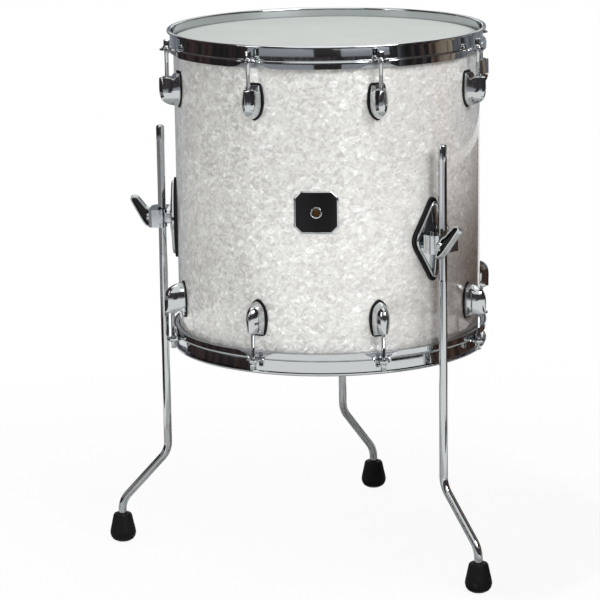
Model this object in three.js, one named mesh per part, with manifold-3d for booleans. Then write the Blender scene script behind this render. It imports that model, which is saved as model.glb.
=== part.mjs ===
// Floor tom on three legs: 16 inch shell, eight lugs a side, chrome hoops.
// Millimetres, +Z up. The origin is the middle of the space the part takes on the floor.
// Angles round the drum are in degrees from the front, where the badge is, towards +X.

import * as THREE from 'three';
import { mergeVertices } from 'three/addons/utils/BufferGeometryUtils.js';
import Module from 'manifold-3d';

// Driving sizes of the drum
const shellRadius = 203;
const shellWall = 6;
const shellLength = 402;
const wrapThickness = 0.6;
const wrapSetback = 12;
const bearingCrest = 2.2;
const filmThickness = 0.6;
const ringSegments = 48;

// Clearances and overruns
const seatGap = 0.3;
const headClearance = 0.6;
const hoopClearance = 1;
const boreClearance = 0.3;
const slideClearance = 0.3;
const cutOverrun = 2;

// Head: the film turns down a little at its rim, over a metal flesh hoop
const filmRimDrop = 2.2;
const filmRimWidth = 4.2;
const fleshHoopWidth = 5.2;
const fleshHoopHeight = 11;

// Counter hoop, pressed from sheet with three flanges
const hoopSheet = 2;
const flangeWidth = 4.4;
const lipProud = 12;
const lipReach = 3.9;
const lipHeight = 4.2;
const lipRound = 1.2;
const hoopHeight = 29;
const earDrop = 18.5;
const earWidth = 17;
const earReach = 9;
const notchSpread = 14;
const earRoundShares = [0, 0.25, 0.5, 0.75, 1];

// Lugs and tension rods
const lugAngles = [-157.5, -112.5, -67.5, -22.5, 22.5, 67.5, 112.5, 157.5];
const lugDrop = 51;
const lugLength = 44;
const lugWidth = 22.5;
const lugDepth = 27;
const lugGasket = 1.6;
const lugGasketMargin = 1.3;
const lugCollarRadius = 5.6;
const lugCollarFoot = 6.8;
const lugCollarRise = 4;
const lugCollarDrop = 4;
const rodStandoff = 16.5;
const rodRadius = 2.8;
const rodEngagement = 20;
const lugBoreSpare = 6;
const rodSides = 8;
const collarSides = 10;
const washerRadius = 6.4;
const washerThickness = 1.4;
const rodCollarRadius = 4.8;
const rodCollarHeight = 2.4;
const rodHeadWidth = 6.4;
const rodHeadHeight = 8;

// Legs and feet
const leftLegAngle = -90;
const rightLegAngle = 45;
const backLegAngle = 180;
const backLegTurnAngle = -38;
const legRadius = 5.55;
const legStandoff = 22;
const legTop = 584;
const legBendHeight = 130;
const legKneeHeight = 57;
const legReach = 66;
const legBendRadius = 20;
const legBendShares = [0, 0.5, 1];
const legDome = 2;
const legTipShare = 0.55;
const gripTopDrop = 20;
const gripLength = 160;
const gripFade = 4;
const gripCornerShare = 1.05;
const gripFlatShare = 0.91;
const footHeight = 36;
const footBaseRadius = 17;
const footTopRadius = 12;
const footFloor = 8;
const footRadiusShares = [0.53, 0.78, 0.94, 1, 0.95];
const footHeightShares = [0, 0.07, 0.17, 0.3, 0.42];
const footNeckHeightShare = 0.93;
const footMouthShare = 0.9;
const rimHeight = 289;

// Leg brackets
const bracketHeight = 457.5;
const plateHalfWidth = 36.4;
const plateHalfHeight = 60.6;
const plateGasket = 2;
const gasketBorder = 2.8;
const gasketLip = 2.5;
const plateRise = 8.7;
const plateEdge = 3.4;
const plateCornerShare = 0.16;
const neckWidth = 15;
const neckHeight = 15;
const blockHeight = 24;
const blockLeft = 30;
const blockBack = 7;
const blockFront = 17.3;
const blockChamfer = 4;
const jointGap = 0.4;
const hingeOffset = 10.8;
const knuckleRadius = 4;
const knuckleHeight = 13;
const hingePinRadius = 1.8;
const hingePinProud = 1;
const wingOffset = 21.5;
const wingDrop = 3;
const leftWingAngle = 12;
const rightWingAngle = 23;
const backWingAngle = -18;
const screwRadius = 3;
const screwPocket = 4.4;
const hubRadius = 6.5;
const hubLength = 6;
const wingLength = 46;
const wingReach = 28;
const wingThickness = 8;
const wingWeb = 2.6;
const wingRim = 2.2;
const mitreShare = 0.5;

// Badge and vent
const badgeWidth = 57;
const badgeHeight = 55;
const badgeChamfer = 9;
const badgeThickness = 1.2;
const ventBore = 4;
const ventWall = 1.2;
const ventFlange = 8;
const ventFlangeThickness = 1;
const ventFlareRadius = 7;
const roundSides = 12;

// Radii and heights that follow from the sizes above
const degree = Math.PI / 180;
const wrapRadius = shellRadius + seatGap + wrapThickness;
const fleshInner = wrapRadius + headClearance;
const fleshOuter = fleshInner + fleshHoopWidth;
const skirtInner = fleshOuter + hoopClearance;
const skirtOuter = skirtInner + hoopSheet;
const wallInner = skirtInner - flangeWidth;
const wallOuter = wallInner + hoopSheet;
const lipOuter = wallOuter + lipReach;
const rodCircle = wrapRadius + rodStandoff;
const legCircle = wrapRadius + legStandoff;
const headTop = shellLength / 2 + seatGap + filmThickness;
const lipTop = headTop + lipProud;
const fleshTop = headTop - filmRimDrop - filmThickness - seatGap;
const flangeUnder = fleshTop + seatGap;
const earTop = lipTop - earDrop;
const lugTop = lipTop - lugDrop;
const drumMiddle = rimHeight + lipTop;
const gripRadius = legRadius * gripCornerShare;
const saddleRadius = gripRadius + slideClearance;
const ventOuter = ventBore + ventWall;
const gasketFront = wrapRadius + seatGap + plateGasket;
const gasketRim = gasketFront + gasketLip;

const wasm = await Module();
wasm.setup();

// Turns a closed three.js geometry into a solid, with its faces pointing out
function toSolid(geometry) {
  const plain = geometry.clone();
  plain.deleteAttribute('normal');
  plain.deleteAttribute('uv');
  const merged = mergeVertices(plain);
  const vertProperties = new Float32Array(merged.getAttribute('position').array);
  const kept = withoutSlivers(merged.getIndex().array);
  const outward = signedVolume(vertProperties, kept) > 0 ? kept : kept.reverse();
  const triVerts = new Uint32Array(outward);
  return new wasm.Manifold(new wasm.Mesh({ numProp: 3, vertProperties, triVerts }));
}

// Leaves out the triangles that merging has closed up
function withoutSlivers(index) {
  const kept = [];
  for (let i = 0; i < index.length; i += 3) {
    const [a, b, c] = [index[i], index[i + 1], index[i + 2]];
    if (a !== b && b !== c && c !== a) kept.push(a, b, c);
  }
  return kept;
}

function signedVolume(positions, index) {
  const corner = (i) => new THREE.Vector3().fromArray(positions, index[i] * 3);
  let volume = 0;
  for (let i = 0; i < index.length; i += 3) {
    volume += corner(i).dot(corner(i + 1).cross(corner(i + 2)));
  }
  return volume;
}

function toGeometry(solid) {
  const mesh = solid.getMesh();
  const geometry = new THREE.BufferGeometry();
  const positions = new Float32Array(mesh.vertProperties);
  geometry.setAttribute('position', new THREE.BufferAttribute(positions, 3));
  geometry.setIndex(new THREE.BufferAttribute(new Uint32Array(mesh.triVerts), 1));
  geometry.computeVertexNormals();
  return geometry;
}

// Closed body through rings of points, each ring with as many points as the next
function loft(rings) {
  const count = rings[0].length;
  const positions = rings.flat().flatMap((point) => point.toArray());
  const index = [];
  for (let ring = 0; ring + 1 < rings.length; ring++) {
    for (let i = 0; i < count; i++) {
      const a = ring * count + i;
      const b = ring * count + ((i + 1) % count);
      index.push(a, b, b + count, a, b + count, a + count);
    }
  }
  const last = (rings.length - 1) * count;
  for (let i = 1; i + 1 < count; i++) {
    index.push(0, i + 1, i, last, last + i, last + i + 1);
  }
  const geometry = new THREE.BufferGeometry();
  geometry.setAttribute('position', new THREE.Float32BufferAttribute(positions, 3));
  geometry.setIndex(index);
  return toSolid(geometry);
}

// Revolved body about an upright axis; the profile is [radius, height] pairs
function upright(profile, segments, across = 0, out = 0) {
  const points = profile.map(([radius, height]) => new THREE.Vector2(radius, height));
  const geometry = new THREE.LatheGeometry(points, segments);
  return toSolid(geometry.rotateX(Math.PI / 2).translate(across, -out, 0));
}

// Revolved body about an axis that points out of the drum's front
function outward(profile, segments, across = 0, up = 0) {
  const points = profile.map(([radius, out]) => new THREE.Vector2(radius, out));
  const geometry = new THREE.LatheGeometry(points, segments);
  return toSolid(geometry.rotateX(Math.PI).translate(across, 0, up));
}

function closed(profile) {
  return [...profile, profile[0]];
}

// Solid disc or rod as a profile, from one height to the next
function rodProfile(radius, from, to) {
  return [[0, from], [radius, from], [radius, to], [0, to]];
}

// Flat outline, seen from the front, pushed out from one radius to another
function frontPrism(outline, from, to) {
  const shape = new THREE.Shape(outline.map(([across, up]) => new THREE.Vector2(across, up)));
  const geometry = new THREE.ExtrudeGeometry(shape, { depth: to - from, bevelEnabled: false });
  return toSolid(geometry.translate(0, 0, from).rotateX(Math.PI / 2));
}

// Flat outline, seen from above, raised from one height to another
function planPrism(outline, from, to) {
  const shape = new THREE.Shape(outline.map(([across, out]) => new THREE.Vector2(across, -out)));
  const geometry = new THREE.ExtrudeGeometry(shape, { depth: to - from, bevelEnabled: false });
  return toSolid(geometry.translate(0, 0, from));
}

function rectangle(left, right, low, high) {
  return [[left, low], [right, low], [right, high], [left, high]];
}

// Upright drum-shaped core, for cutting a seat that fits the shell's curve
function core(radius, halfHeight) {
  return upright(rodProfile(radius, -halfHeight, halfHeight), ringSegments);
}

function tube(inner, outer, low, high) {
  return upright(closed([[inner, low], [outer, low], [outer, high], [inner, high]]), ringSegments);
}

// Finishes: colour, roughness and metalness as the photograph shows them
const finishes = {
  chrome: { color: 0xd4d8da, roughness: 0.08, metalness: 1 },
  aluminium: { color: 0xb9bdc0, roughness: 0.35, metalness: 1 },
  birch: { color: 0xb08a5c, roughness: 0.6, metalness: 0 },
  pearl: { color: 0xe6e5de, roughness: 0.25, metalness: 0 },
  coatedFilm: { color: 0xdfe3df, roughness: 0.7, metalness: 0 },
  clearFilm: { color: 0xe9edee, roughness: 0.15, metalness: 0 },
  rubber: { color: 0x17171a, roughness: 0.75, metalness: 0 },
  badge: { color: 0x141416, roughness: 0.3, metalness: 0.2 },
};

const materials = Object.fromEntries(
  Object.entries(finishes).map(([name, look]) => [
    name,
    new THREE.MeshStandardMaterial({ ...look, flatShading: true }),
  ]),
);

const floorTom = new THREE.Group();
const drum = new THREE.Group();
drum.position.z = drumMiddle;
floorTom.add(drum);

function addPiece(parent, name, solid, finish, turn = 0) {
  const mesh = new THREE.Mesh(toGeometry(solid), materials[finish]);
  mesh.name = name;
  mesh.rotation.z = turn * degree;
  parent.add(mesh);
  return mesh;
}

// Adds the same piece at the batter side and, turned over, at the resonant side
function addPair(names, solid, finish) {
  addPiece(drum, names[0], solid, finish);
  addPiece(drum, names[1], solid, finish).rotation.y = Math.PI;
}

// Wooden shell with a bearing edge cut at both ends
function makeShell() {
  const top = shellLength / 2;
  const inner = shellRadius - shellWall;
  const crest = shellRadius - bearingCrest;
  const innerCut = crest - inner;
  const half = [[inner, top - innerCut], [crest, top], [shellRadius, top - bearingCrest]];
  const mirrored = half.map(([radius, height]) => [radius, -height]).reverse();
  const ring = upright(closed([...half, ...mirrored]), ringSegments);
  return ring.subtract(ventHole(ventOuter + boreClearance));
}

function makeWrap() {
  const end = shellLength / 2 - wrapSetback;
  return tube(shellRadius + seatGap, wrapRadius, -end, end).subtract(ventHole(ventOuter + boreClearance));
}

function ventHole(radius) {
  const from = shellRadius - shellWall - cutOverrun;
  return outward(rodProfile(radius, from, wrapRadius + badgeThickness + cutOverrun), roundSides);
}

// Film with its turned-down rim, and the flesh hoop that holds it
function makeFilm() {
  const flat = fleshInner - filmRimWidth;
  const rim = headTop - filmRimDrop;
  return upright([
    [0, headTop - filmThickness], [flat, headTop - filmThickness], [fleshInner, rim - filmThickness],
    [fleshInner, rim], [flat, headTop], [0, headTop],
  ], ringSegments);
}

function makeFleshHoop() {
  return tube(fleshInner, fleshOuter, fleshTop - fleshHoopHeight, fleshTop);
}

// Counter hoop: rolled lip, wall, step over the flesh hoop, skirt, and eight ears
function makeCounterHoop() {
  const bottom = lipTop - hoopHeight;
  const flangeTop = flangeUnder + hoopSheet;
  const ring = upright(closed([
    [wallInner, flangeUnder], [wallInner, lipTop - lipRound], [wallOuter, lipTop],
    [lipOuter - lipRound, lipTop], [lipOuter, lipTop - lipHeight / 2], [wallOuter, lipTop - lipHeight],
    [wallOuter, flangeTop], [skirtOuter, flangeTop - lipRound], [skirtOuter, bottom],
    [skirtInner, bottom], [skirtInner, flangeUnder],
  ]), ringSegments);
  let hoop = ring;
  for (const angle of lugAngles) hoop = hoop.subtract(makeSkirtNotch(bottom).rotate([0, 0, angle]));
  for (const angle of lugAngles) hoop = hoop.add(makeEar().rotate([0, 0, angle]));
  for (const angle of lugAngles) hoop = hoop.subtract(makeEarHole().rotate([0, 0, angle]));
  return hoop;
}

// The skirt is cut away below each ear, with its edge rising on both sides
function makeSkirtNotch(bottom) {
  const near = earWidth / 2;
  const far = near + notchSpread;
  const under = earTop - hoopSheet;
  const low = bottom - cutOverrun;
  const outline = [[-far, low], [far, low], [far, bottom], [near, under], [-near, under], [-far, bottom]];
  return frontPrism(outline, wallOuter, skirtOuter + cutOverrun);
}

function makeEar() {
  const half = earWidth / 2;
  const root = skirtInner + hoopSheet / 2;
  const end = rodCircle + earReach;
  const outline = [[-half - hoopSheet, root], [-half, skirtOuter + hoopSheet]];
  for (const share of earRoundShares) {
    const angle = Math.PI * share;
    outline.push([-half * Math.cos(angle), end - half + half * Math.sin(angle)]);
  }
  outline.push([half, skirtOuter + hoopSheet], [half + hoopSheet, root]);
  return planPrism(outline, earTop - hoopSheet, earTop);
}

function makeEarHole() {
  const radius = rodRadius + 2 * boreClearance;
  const profile = rodProfile(radius, earTop - hoopSheet - cutOverrun, earTop + cutOverrun);
  return upright(profile, rodSides, 0, rodCircle);
}

// Lug outline down its length: share of length, of width and of depth at each section
const lugLengthShares = [0, 0.1, 0.4, 0.68, 0.86, 0.96, 1];
const lugWidthShares = [0.68, 0.85, 1, 0.92, 0.68, 0.4, 0.14];
const lugDepthShares = [0.34, 0.86, 1, 0.96, 0.8, 0.52, 0.24];

// Half of a lug's cross-section, from the shell to the crease: share of width and of depth
const lugSideShares = [[1, 0.05], [0.9, 0.55], [0.5, 0.9]];

function lugOutline(margin) {
  const length = lugLength + 2 * margin;
  const half = lugWidth / 2 + margin;
  const top = lugTop + margin;
  const side = lugLengthShares.map((share, i) => [half * lugWidthShares[i], top - length * share]);
  const other = side.map(([across, up]) => [-across, up]).reverse();
  return [...side, ...other];
}

// Lug body: flat end towards the hoop, soft crease down the front, rounded tail
function makeLug() {
  const seat = wrapRadius + seatGap;
  const back = wrapRadius - cutOverrun;
  const rings = lugLengthShares.map((share, i) => {
    const height = lugTop - lugLength * share;
    const half = (lugWidth / 2) * lugWidthShares[i];
    const depth = lugDepth * lugDepthShares[i];
    const side = lugSideShares.map(([wide, deep]) => [half * wide, seat + depth * deep]);
    const other = [...side].reverse().map(([across, out]) => [-across, out]);
    const ring = [[half, back], ...side, [0, seat + depth], ...other, [-half, back]];
    return ring.map(([x, out]) => new THREE.Vector3(x, -out, height));
  });
  const gasket = frontPrism(lugOutline(lugGasketMargin), back, seat + lugGasket);
  const body = loft(rings).add(gasket).add(makeLugCollar());
  return body.subtract(makeLugBore()).subtract(core(seat, lipTop));
}

function makeLugCollar() {
  const top = lugTop - lugCollarDrop;
  const foot = top - lugCollarRise;
  const profile = [[0, foot], [lugCollarFoot, foot], [lugCollarRadius, top], [0, top]];
  return upright(profile, collarSides, 0, rodCircle);
}

function makeLugBore() {
  const top = lugTop - lugCollarDrop;
  const low = top - rodEngagement - lugBoreSpare;
  return upright(rodProfile(rodRadius + boreClearance, low, lugTop + cutOverrun), rodSides, 0, rodCircle);
}

// Tension rod: square head, collar and washer over the ear, shank down into the lug
function makeTensionRod() {
  const washerLow = earTop + seatGap;
  const washerTop = washerLow + washerThickness;
  const collarTop = washerTop + rodCollarHeight;
  const tip = lugTop - lugCollarDrop - rodEngagement;
  const turned = upright([
    [0, tip], [rodRadius, tip], [rodRadius, washerLow], [washerRadius, washerLow],
    [washerRadius, washerTop], [rodCollarRadius, collarTop], [0, collarTop],
  ], rodSides);
  const half = rodHeadWidth / 2;
  const head = planPrism(rectangle(-half, half, -half, half), washerTop, collarTop + rodHeadHeight);
  return turned.add(head);
}

// Diamond outline with rounded corners, from its half width and half height
function diamond(halfWidth, halfHeight) {
  const corners = [[halfWidth, 0], [0, halfHeight], [-halfWidth, 0], [0, -halfHeight]];
  return corners.flatMap((corner, i) => {
    const before = between(corner, corners.at(i - 1), plateCornerShare);
    const after = between(corner, corners[(i + 1) % corners.length], plateCornerShare);
    return [before, midpoint(midpoint(before, corner), midpoint(corner, after)), after];
  });
}

function between(from, to, share) {
  return from.map((value, i) => value + (to[i] - value) * share);
}

function midpoint(from, to) {
  return from.map((value, i) => (value + to[i]) / 2);
}

function makePlateGasket() {
  const outline = diamond(plateHalfWidth, plateHalfHeight);
  const plate = frontPrism(outline, shellRadius - shellWall, gasketRim + cutOverrun);
  const sheet = plate.intersect(tube(wrapRadius + seatGap, gasketRim, -plateHalfHeight, plateHalfHeight));
  const share = plateShare(gasketBorder);
  const inside = diamond(plateHalfWidth * share, plateHalfHeight * share);
  const recess = frontPrism(inside, shellRadius, gasketRim + cutOverrun);
  return sheet.subtract(recess.subtract(core(gasketFront, plateHalfHeight)));
}

// Size of the diamond, as a share of the gasket's, once every side has moved in by one distance
function plateShare(inset) {
  return 1 - inset * Math.hypot(plateHalfWidth, plateHalfHeight) / (plateHalfWidth * plateHalfHeight);
}

// Plate with a thick raised edge, a shallow groove inside it, then a low crown that carries the clamp
const plateSizeShares = [1, 1, 0.96, 0.9, 0.62, 0.34];
const plateRiseShares = [0, 0.52, 0.68, 0.6, 0.8, 1];

function makePlate() {
  const scale = plateShare(gasketBorder + seatGap);
  const width = plateHalfWidth * scale;
  const height = plateHalfHeight * scale;
  const seat = gasketFront + seatGap;
  const rings = plateSizeShares.map((share, i) => {
    const rise = i === 0 ? -plateEdge : plateRise * plateRiseShares[i];
    return diamond(width * share, height * share).map(([across, up]) => {
      const curve = seat - Math.sqrt(seat * seat - across * across);
      return new THREE.Vector3(across, -(seat + rise - curve), up);
    });
  });
  return loft(rings).subtract(core(seat, plateHalfHeight));
}

// Fixed half of the clamp: neck off the plate, leg saddle, screw pocket and two knuckles
function makeBracketBase() {
  const half = blockHeight / 2;
  const split = legCircle - jointGap / 2;
  const back = legCircle - blockBack;
  const inner = hingeOffset - knuckleRadius - jointGap;
  const neck = frontPrism(
    rectangle(-neckWidth / 2, neckWidth / 2, -neckHeight / 2, neckHeight / 2),
    gasketFront + plateEdge, legCircle - blockBack / 2,
  );
  const block = planPrism(rectangle(-blockLeft, inner, back, split), -half, half);
  let base = makePlate().add(neck).add(block);
  const knuckleLow = knuckleHeight / 2 + jointGap;
  for (const [low, high] of [[knuckleLow, half], [-half, -knuckleLow]]) {
    const knuckle = upright(rodProfile(knuckleRadius, low, high), collarSides, hingeOffset, legCircle);
    const web = planPrism(rectangle(inner - cutOverrun, hingeOffset, back, split), low, high);
    base = base.add(knuckle).add(web);
  }
  const pocket = outward(
    rodProfile(screwPocket, gasketFront + plateRise, legCircle), rodSides, -wingOffset, -wingDrop,
  );
  return base.subtract(makeSaddle()).subtract(pocket).subtract(makeHingeBore());
}

function makeSaddle() {
  return upright(rodProfile(saddleRadius, -blockHeight, blockHeight), roundSides, 0, legCircle);
}

function makeHingeBore() {
  const profile = rodProfile(hingePinRadius + boreClearance, -blockHeight, blockHeight);
  return upright(profile, rodSides, hingeOffset, legCircle);
}

// Swinging half of the clamp, with the hinge pin fixed in its middle knuckle
function makeJaw() {
  const half = blockHeight / 2;
  const near = legCircle + jointGap / 2;
  const far = legCircle + blockFront;
  const right = hingeOffset + knuckleRadius;
  const body = planPrism([
    [-blockLeft, near], [right, near], [right, far - blockChamfer], [right - blockChamfer, far],
    [blockChamfer - blockLeft, far], [-blockLeft, far - blockChamfer],
  ], -half, half);
  const low = knuckleHeight / 2;
  const knuckle = upright(rodProfile(knuckleRadius, -low, low), collarSides, hingeOffset, legCircle);
  let jaw = body.subtract(makeSaddle()).add(knuckle);
  for (const [from, to] of [[low, half + cutOverrun], [-half - cutOverrun, -low]]) {
    const clearing = rodProfile(knuckleRadius + jointGap, from, to);
    jaw = jaw.subtract(upright(clearing, collarSides, hingeOffset, legCircle));
  }
  const pinEnd = half + hingePinProud;
  const pin = upright(rodProfile(hingePinRadius, -pinEnd, pinEnd), rodSides, hingeOffset, legCircle);
  const hole = outward(
    rodProfile(screwRadius + boreClearance, legCircle - jointGap, far + cutOverrun),
    rodSides, -wingOffset, -wingDrop,
  );
  return jaw.add(pin).subtract(hole);
}

// Wing outline beside its screw axis: share of length along the arm, share of reach outwards
const wingOutlineShares = [
  [-0.35, 0.02], [-0.25, 0.32], [0.02, 0.56], [0.37, 0.84], [0.59, 1], [0.66, 0.86],
  [0.65, 0.6], [0.31, 0.22], [0.22, 0.02],
];

// Wing screw: hub and one swept arm, thin in the middle with a rim all round, on a plain shank
function makeWing(angle) {
  const start = legCircle + blockFront + seatGap;
  const outline = wingOutlineShares.map(([along, out]) => [along * wingLength, start + out * wingReach]);
  const inner = insetOutline(outline, wingRim);
  const half = wingThickness / 2;
  const web = wingWeb / 2;
  let arm = sidePrism(outline, -half, half);
  arm = arm.subtract(sidePrism(inner, web, half + cutOverrun));
  arm = arm.subtract(sidePrism(inner, -half - cutOverrun, -web));
  const hub = outward(rodProfile(hubRadius, start, start + hubLength), collarSides);
  const shank = outward(rodProfile(screwRadius, legCircle - blockBack / 2, start + hubLength), rodSides);
  return arm.add(hub).add(shank).rotate([0, angle, 0]).translate([-wingOffset, 0, -wingDrop]);
}

// Outline of [along, out] pairs in the upright plane through the screw, given a thickness
function sidePrism(outline, from, to) {
  const shape = new THREE.Shape(outline.map(([along, out]) => new THREE.Vector2(along, out)));
  const geometry = new THREE.ExtrudeGeometry(shape, { depth: to - from, bevelEnabled: false });
  const axes = new THREE.Matrix4().makeBasis(
    new THREE.Vector3(0, 0, 1), new THREE.Vector3(0, -1, 0), new THREE.Vector3(1, 0, 0),
  );
  return toSolid(geometry.translate(0, 0, from).applyMatrix4(axes));
}

// Outline drawn in by one distance on every side
function insetOutline(outline, distance) {
  const points = outline.map(([x, y]) => new THREE.Vector2(x, y));
  const clockwise = THREE.ShapeUtils.isClockWise(points) ? -1 : 1;
  return points.map((point, i) => {
    const before = points[(i + points.length - 1) % points.length];
    const after = points[(i + 1) % points.length];
    const first = point.clone().sub(before).normalize();
    const second = after.clone().sub(point).normalize();
    const inwards = new THREE.Vector2(-first.y - second.y, first.x + second.x).normalize();
    const stretch = distance / Math.max(inwards.dot(new THREE.Vector2(-first.y, first.x)), mitreShare);
    const moved = point.clone().addScaledVector(inwards, clockwise * stretch);
    return [moved.x, moved.y];
  });
}

// Leg: straight down through the clamp, out to the knee, then straight down into the foot
function makeLeg() {
  const rings = legCentreLine().map(({ out, height, lean, radius, grip }) => {
    const ring = [];
    for (let i = 0; i < roundSides; i++) {
      const angle = (2 * Math.PI * i) / roundSides;
      const gripShare = i % 2 ? gripFlatShare : gripCornerShare;
      const reach = grip ? radius * gripShare : radius;
      const forward = reach * Math.sin(angle);
      const y = -(out + forward * Math.cos(lean));
      ring.push(new THREE.Vector3(reach * Math.cos(angle), y, height + forward * Math.sin(lean)));
    }
    return ring;
  });
  return loft(rings);
}

// Stations of the leg's centre line, with its lean, its radius and whether it is six-sided there
function legCentreLine() {
  const gripTop = legTop - gripTopDrop;
  const gripLow = gripTop - gripLength;
  const run = legBendHeight - legKneeHeight;
  const lean = Math.atan2(legReach, run);
  const stations = [
    { out: 0, height: legTop, lean: 0, radius: legRadius * legTipShare, grip: false },
    { out: 0, height: legTop - legDome, lean: 0, radius: legRadius, grip: false },
    { out: 0, height: gripTop, lean: 0, radius: legRadius, grip: false },
    { out: 0, height: gripTop - gripFade, lean: 0, radius: legRadius, grip: true },
    { out: 0, height: gripLow + gripFade, lean: 0, radius: legRadius, grip: true },
    { out: 0, height: gripLow, lean: 0, radius: legRadius, grip: false },
  ];
  const setback = legBendRadius * Math.tan(lean / 2);
  for (const share of legBendShares) {
    const angle = lean * share;
    const out = legBendRadius * (1 - Math.cos(angle));
    const height = legBendHeight + setback - legBendRadius * Math.sin(angle);
    stations.push({ out, height, lean: angle, radius: legRadius, grip: false });
  }
  for (const share of [...legBendShares].reverse()) {
    const angle = lean * share;
    const out = legReach - legBendRadius * (1 - Math.cos(angle));
    const height = legKneeHeight - setback + legBendRadius * Math.sin(angle);
    stations.push({ out, height, lean: angle, radius: legRadius, grip: false });
  }
  stations.push({ out: legReach, height: footFloor + seatGap, lean: 0, radius: legRadius, grip: false });
  return stations;
}

// Rubber foot: bell with a rounded bottom, and a socket for the leg
function makeFoot() {
  const socket = legRadius + seatGap;
  const bell = footRadiusShares.map((share, i) => [footBaseRadius * share, footHeight * footHeightShares[i]]);
  return upright([
    [0, 0], ...bell, [footTopRadius, footHeight * footNeckHeightShare],
    [footTopRadius * footMouthShare, footHeight], [socket, footHeight], [socket, footFloor], [0, footFloor],
  ], roundSides);
}

// Badge: eight-sided plate that follows the shell, with nothing written on it
function makeBadge() {
  const x = badgeWidth / 2;
  const z = badgeHeight / 2;
  const c = badgeChamfer;
  const outline = [
    [c - x, -z], [x - c, -z], [x, c - z], [x, z - c], [x - c, z], [c - x, z], [-x, z - c], [-x, c - z],
  ];
  const inner = wrapRadius + seatGap;
  const plate = frontPrism(outline, shellRadius - shellWall, inner + badgeThickness + cutOverrun);
  const skin = tube(inner, inner + badgeThickness, -badgeHeight, badgeHeight);
  return plate.intersect(skin).subtract(ventHole(ventOuter + boreClearance));
}

// Vent grommet: flange over the badge, barrel through the shell, flared end inside
function makeVent() {
  const front = wrapRadius + 2 * seatGap + badgeThickness;
  const back = shellRadius - shellWall - 2 * seatGap;
  return outward(closed([
    [ventBore, back - ventFlangeThickness], [ventFlareRadius, back - ventFlangeThickness],
    [ventFlareRadius, back], [ventOuter, back], [ventOuter, front], [ventFlange, front],
    [ventFlange - ventFlangeThickness, front + ventFlangeThickness], [ventBore, front + ventFlangeThickness],
  ]), roundSides);
}

addPiece(drum, 'shell', makeShell(), 'birch');
addPiece(drum, 'shell_wrap', makeWrap(), 'pearl');
addPair(['batter_head', 'resonant_head'], makeFilm(), 'coatedFilm');
addPair(['batter_flesh_hoop', 'resonant_flesh_hoop'], makeFleshHoop(), 'aluminium');
addPair(['batter_hoop', 'resonant_hoop'], makeCounterHoop(), 'chrome');

const lug = makeLug();
const tensionRod = makeTensionRod();
lugAngles.forEach((angle, i) => {
  for (const [side, flip] of [['top', 0], ['bottom', Math.PI]]) {
    const post = new THREE.Group();
    post.rotation.set(0, flip, angle * degree, 'ZYX');
    addPiece(post, `${side}_lug_${i + 1}`, lug, 'chrome');
    addPiece(post, `${side}_tension_rod_${i + 1}`, tensionRod, 'chrome').position.y = -rodCircle;
    drum.add(post);
  }
});

const plateGasketSolid = makePlateGasket();
const bracketBase = makeBracketBase();
const jaw = makeJaw();
const leg = makeLeg();
const foot = makeFoot();
for (const [side, angle, legTurnAngle, wingAngle] of [
  ['left', leftLegAngle, 0, leftWingAngle],
  ['right', rightLegAngle, 0, rightWingAngle],
  ['back', backLegAngle, backLegTurnAngle, backWingAngle],
]) {
  const bracket = new THREE.Group();
  bracket.rotation.z = angle * degree;
  bracket.position.z = bracketHeight;
  addPiece(bracket, `${side}_bracket_gasket`, plateGasketSolid, 'rubber');
  addPiece(bracket, `${side}_bracket_base`, bracketBase, 'chrome');
  addPiece(bracket, `${side}_clamp_jaw`, jaw, 'chrome');
  addPiece(bracket, `${side}_wing_screw`, makeWing(wingAngle), 'chrome');
  const stand = new THREE.Group();
  stand.rotation.z = angle * degree;
  const limb = new THREE.Group();
  limb.position.y = -legCircle;
  limb.rotation.z = legTurnAngle * degree;
  addPiece(limb, `${side}_leg`, leg, 'chrome');
  addPiece(limb, `${side}_foot`, foot, 'rubber').position.y = -legReach;
  stand.add(limb);
  floorTom.add(bracket, stand);
}

addPiece(drum, 'badge', makeBadge(), 'badge');
addPiece(drum, 'vent_grommet', makeVent(), 'chrome');

// Sets the origin at the middle of the floor space that the part takes
floorTom.updateMatrixWorld(true);
const middle = new THREE.Box3().setFromObject(floorTom, true).getCenter(new THREE.Vector3());
floorTom.children.forEach((child) => {
  child.position.x -= middle.x;
  child.position.y -= middle.y;
});

export default floorTom;
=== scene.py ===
# Floor tom on three legs: the looks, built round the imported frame.
# Sizes are in millimetres in each piece's own dictionary, and become metres when a mesh is made.
# Local axes of a piece at the front of the drum: x across, -y outward, z up from the shell's middle.

import math
from functools import partial

import bmesh
import bpy
from mathutils import Matrix, Vector


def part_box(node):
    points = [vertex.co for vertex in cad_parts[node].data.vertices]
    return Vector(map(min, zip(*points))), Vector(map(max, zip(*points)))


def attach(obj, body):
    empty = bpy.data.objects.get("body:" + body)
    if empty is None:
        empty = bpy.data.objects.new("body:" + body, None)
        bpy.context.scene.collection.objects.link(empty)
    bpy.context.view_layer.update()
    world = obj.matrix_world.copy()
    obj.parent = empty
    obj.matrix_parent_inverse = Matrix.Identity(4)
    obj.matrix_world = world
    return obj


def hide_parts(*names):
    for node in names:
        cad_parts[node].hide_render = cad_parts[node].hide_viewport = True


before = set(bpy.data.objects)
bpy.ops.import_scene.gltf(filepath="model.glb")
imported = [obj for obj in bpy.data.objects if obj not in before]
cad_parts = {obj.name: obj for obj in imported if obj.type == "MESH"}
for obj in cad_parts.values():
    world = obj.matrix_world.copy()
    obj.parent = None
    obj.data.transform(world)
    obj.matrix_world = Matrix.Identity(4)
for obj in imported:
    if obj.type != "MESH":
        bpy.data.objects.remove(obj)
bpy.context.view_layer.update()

mm = 0.001

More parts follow.
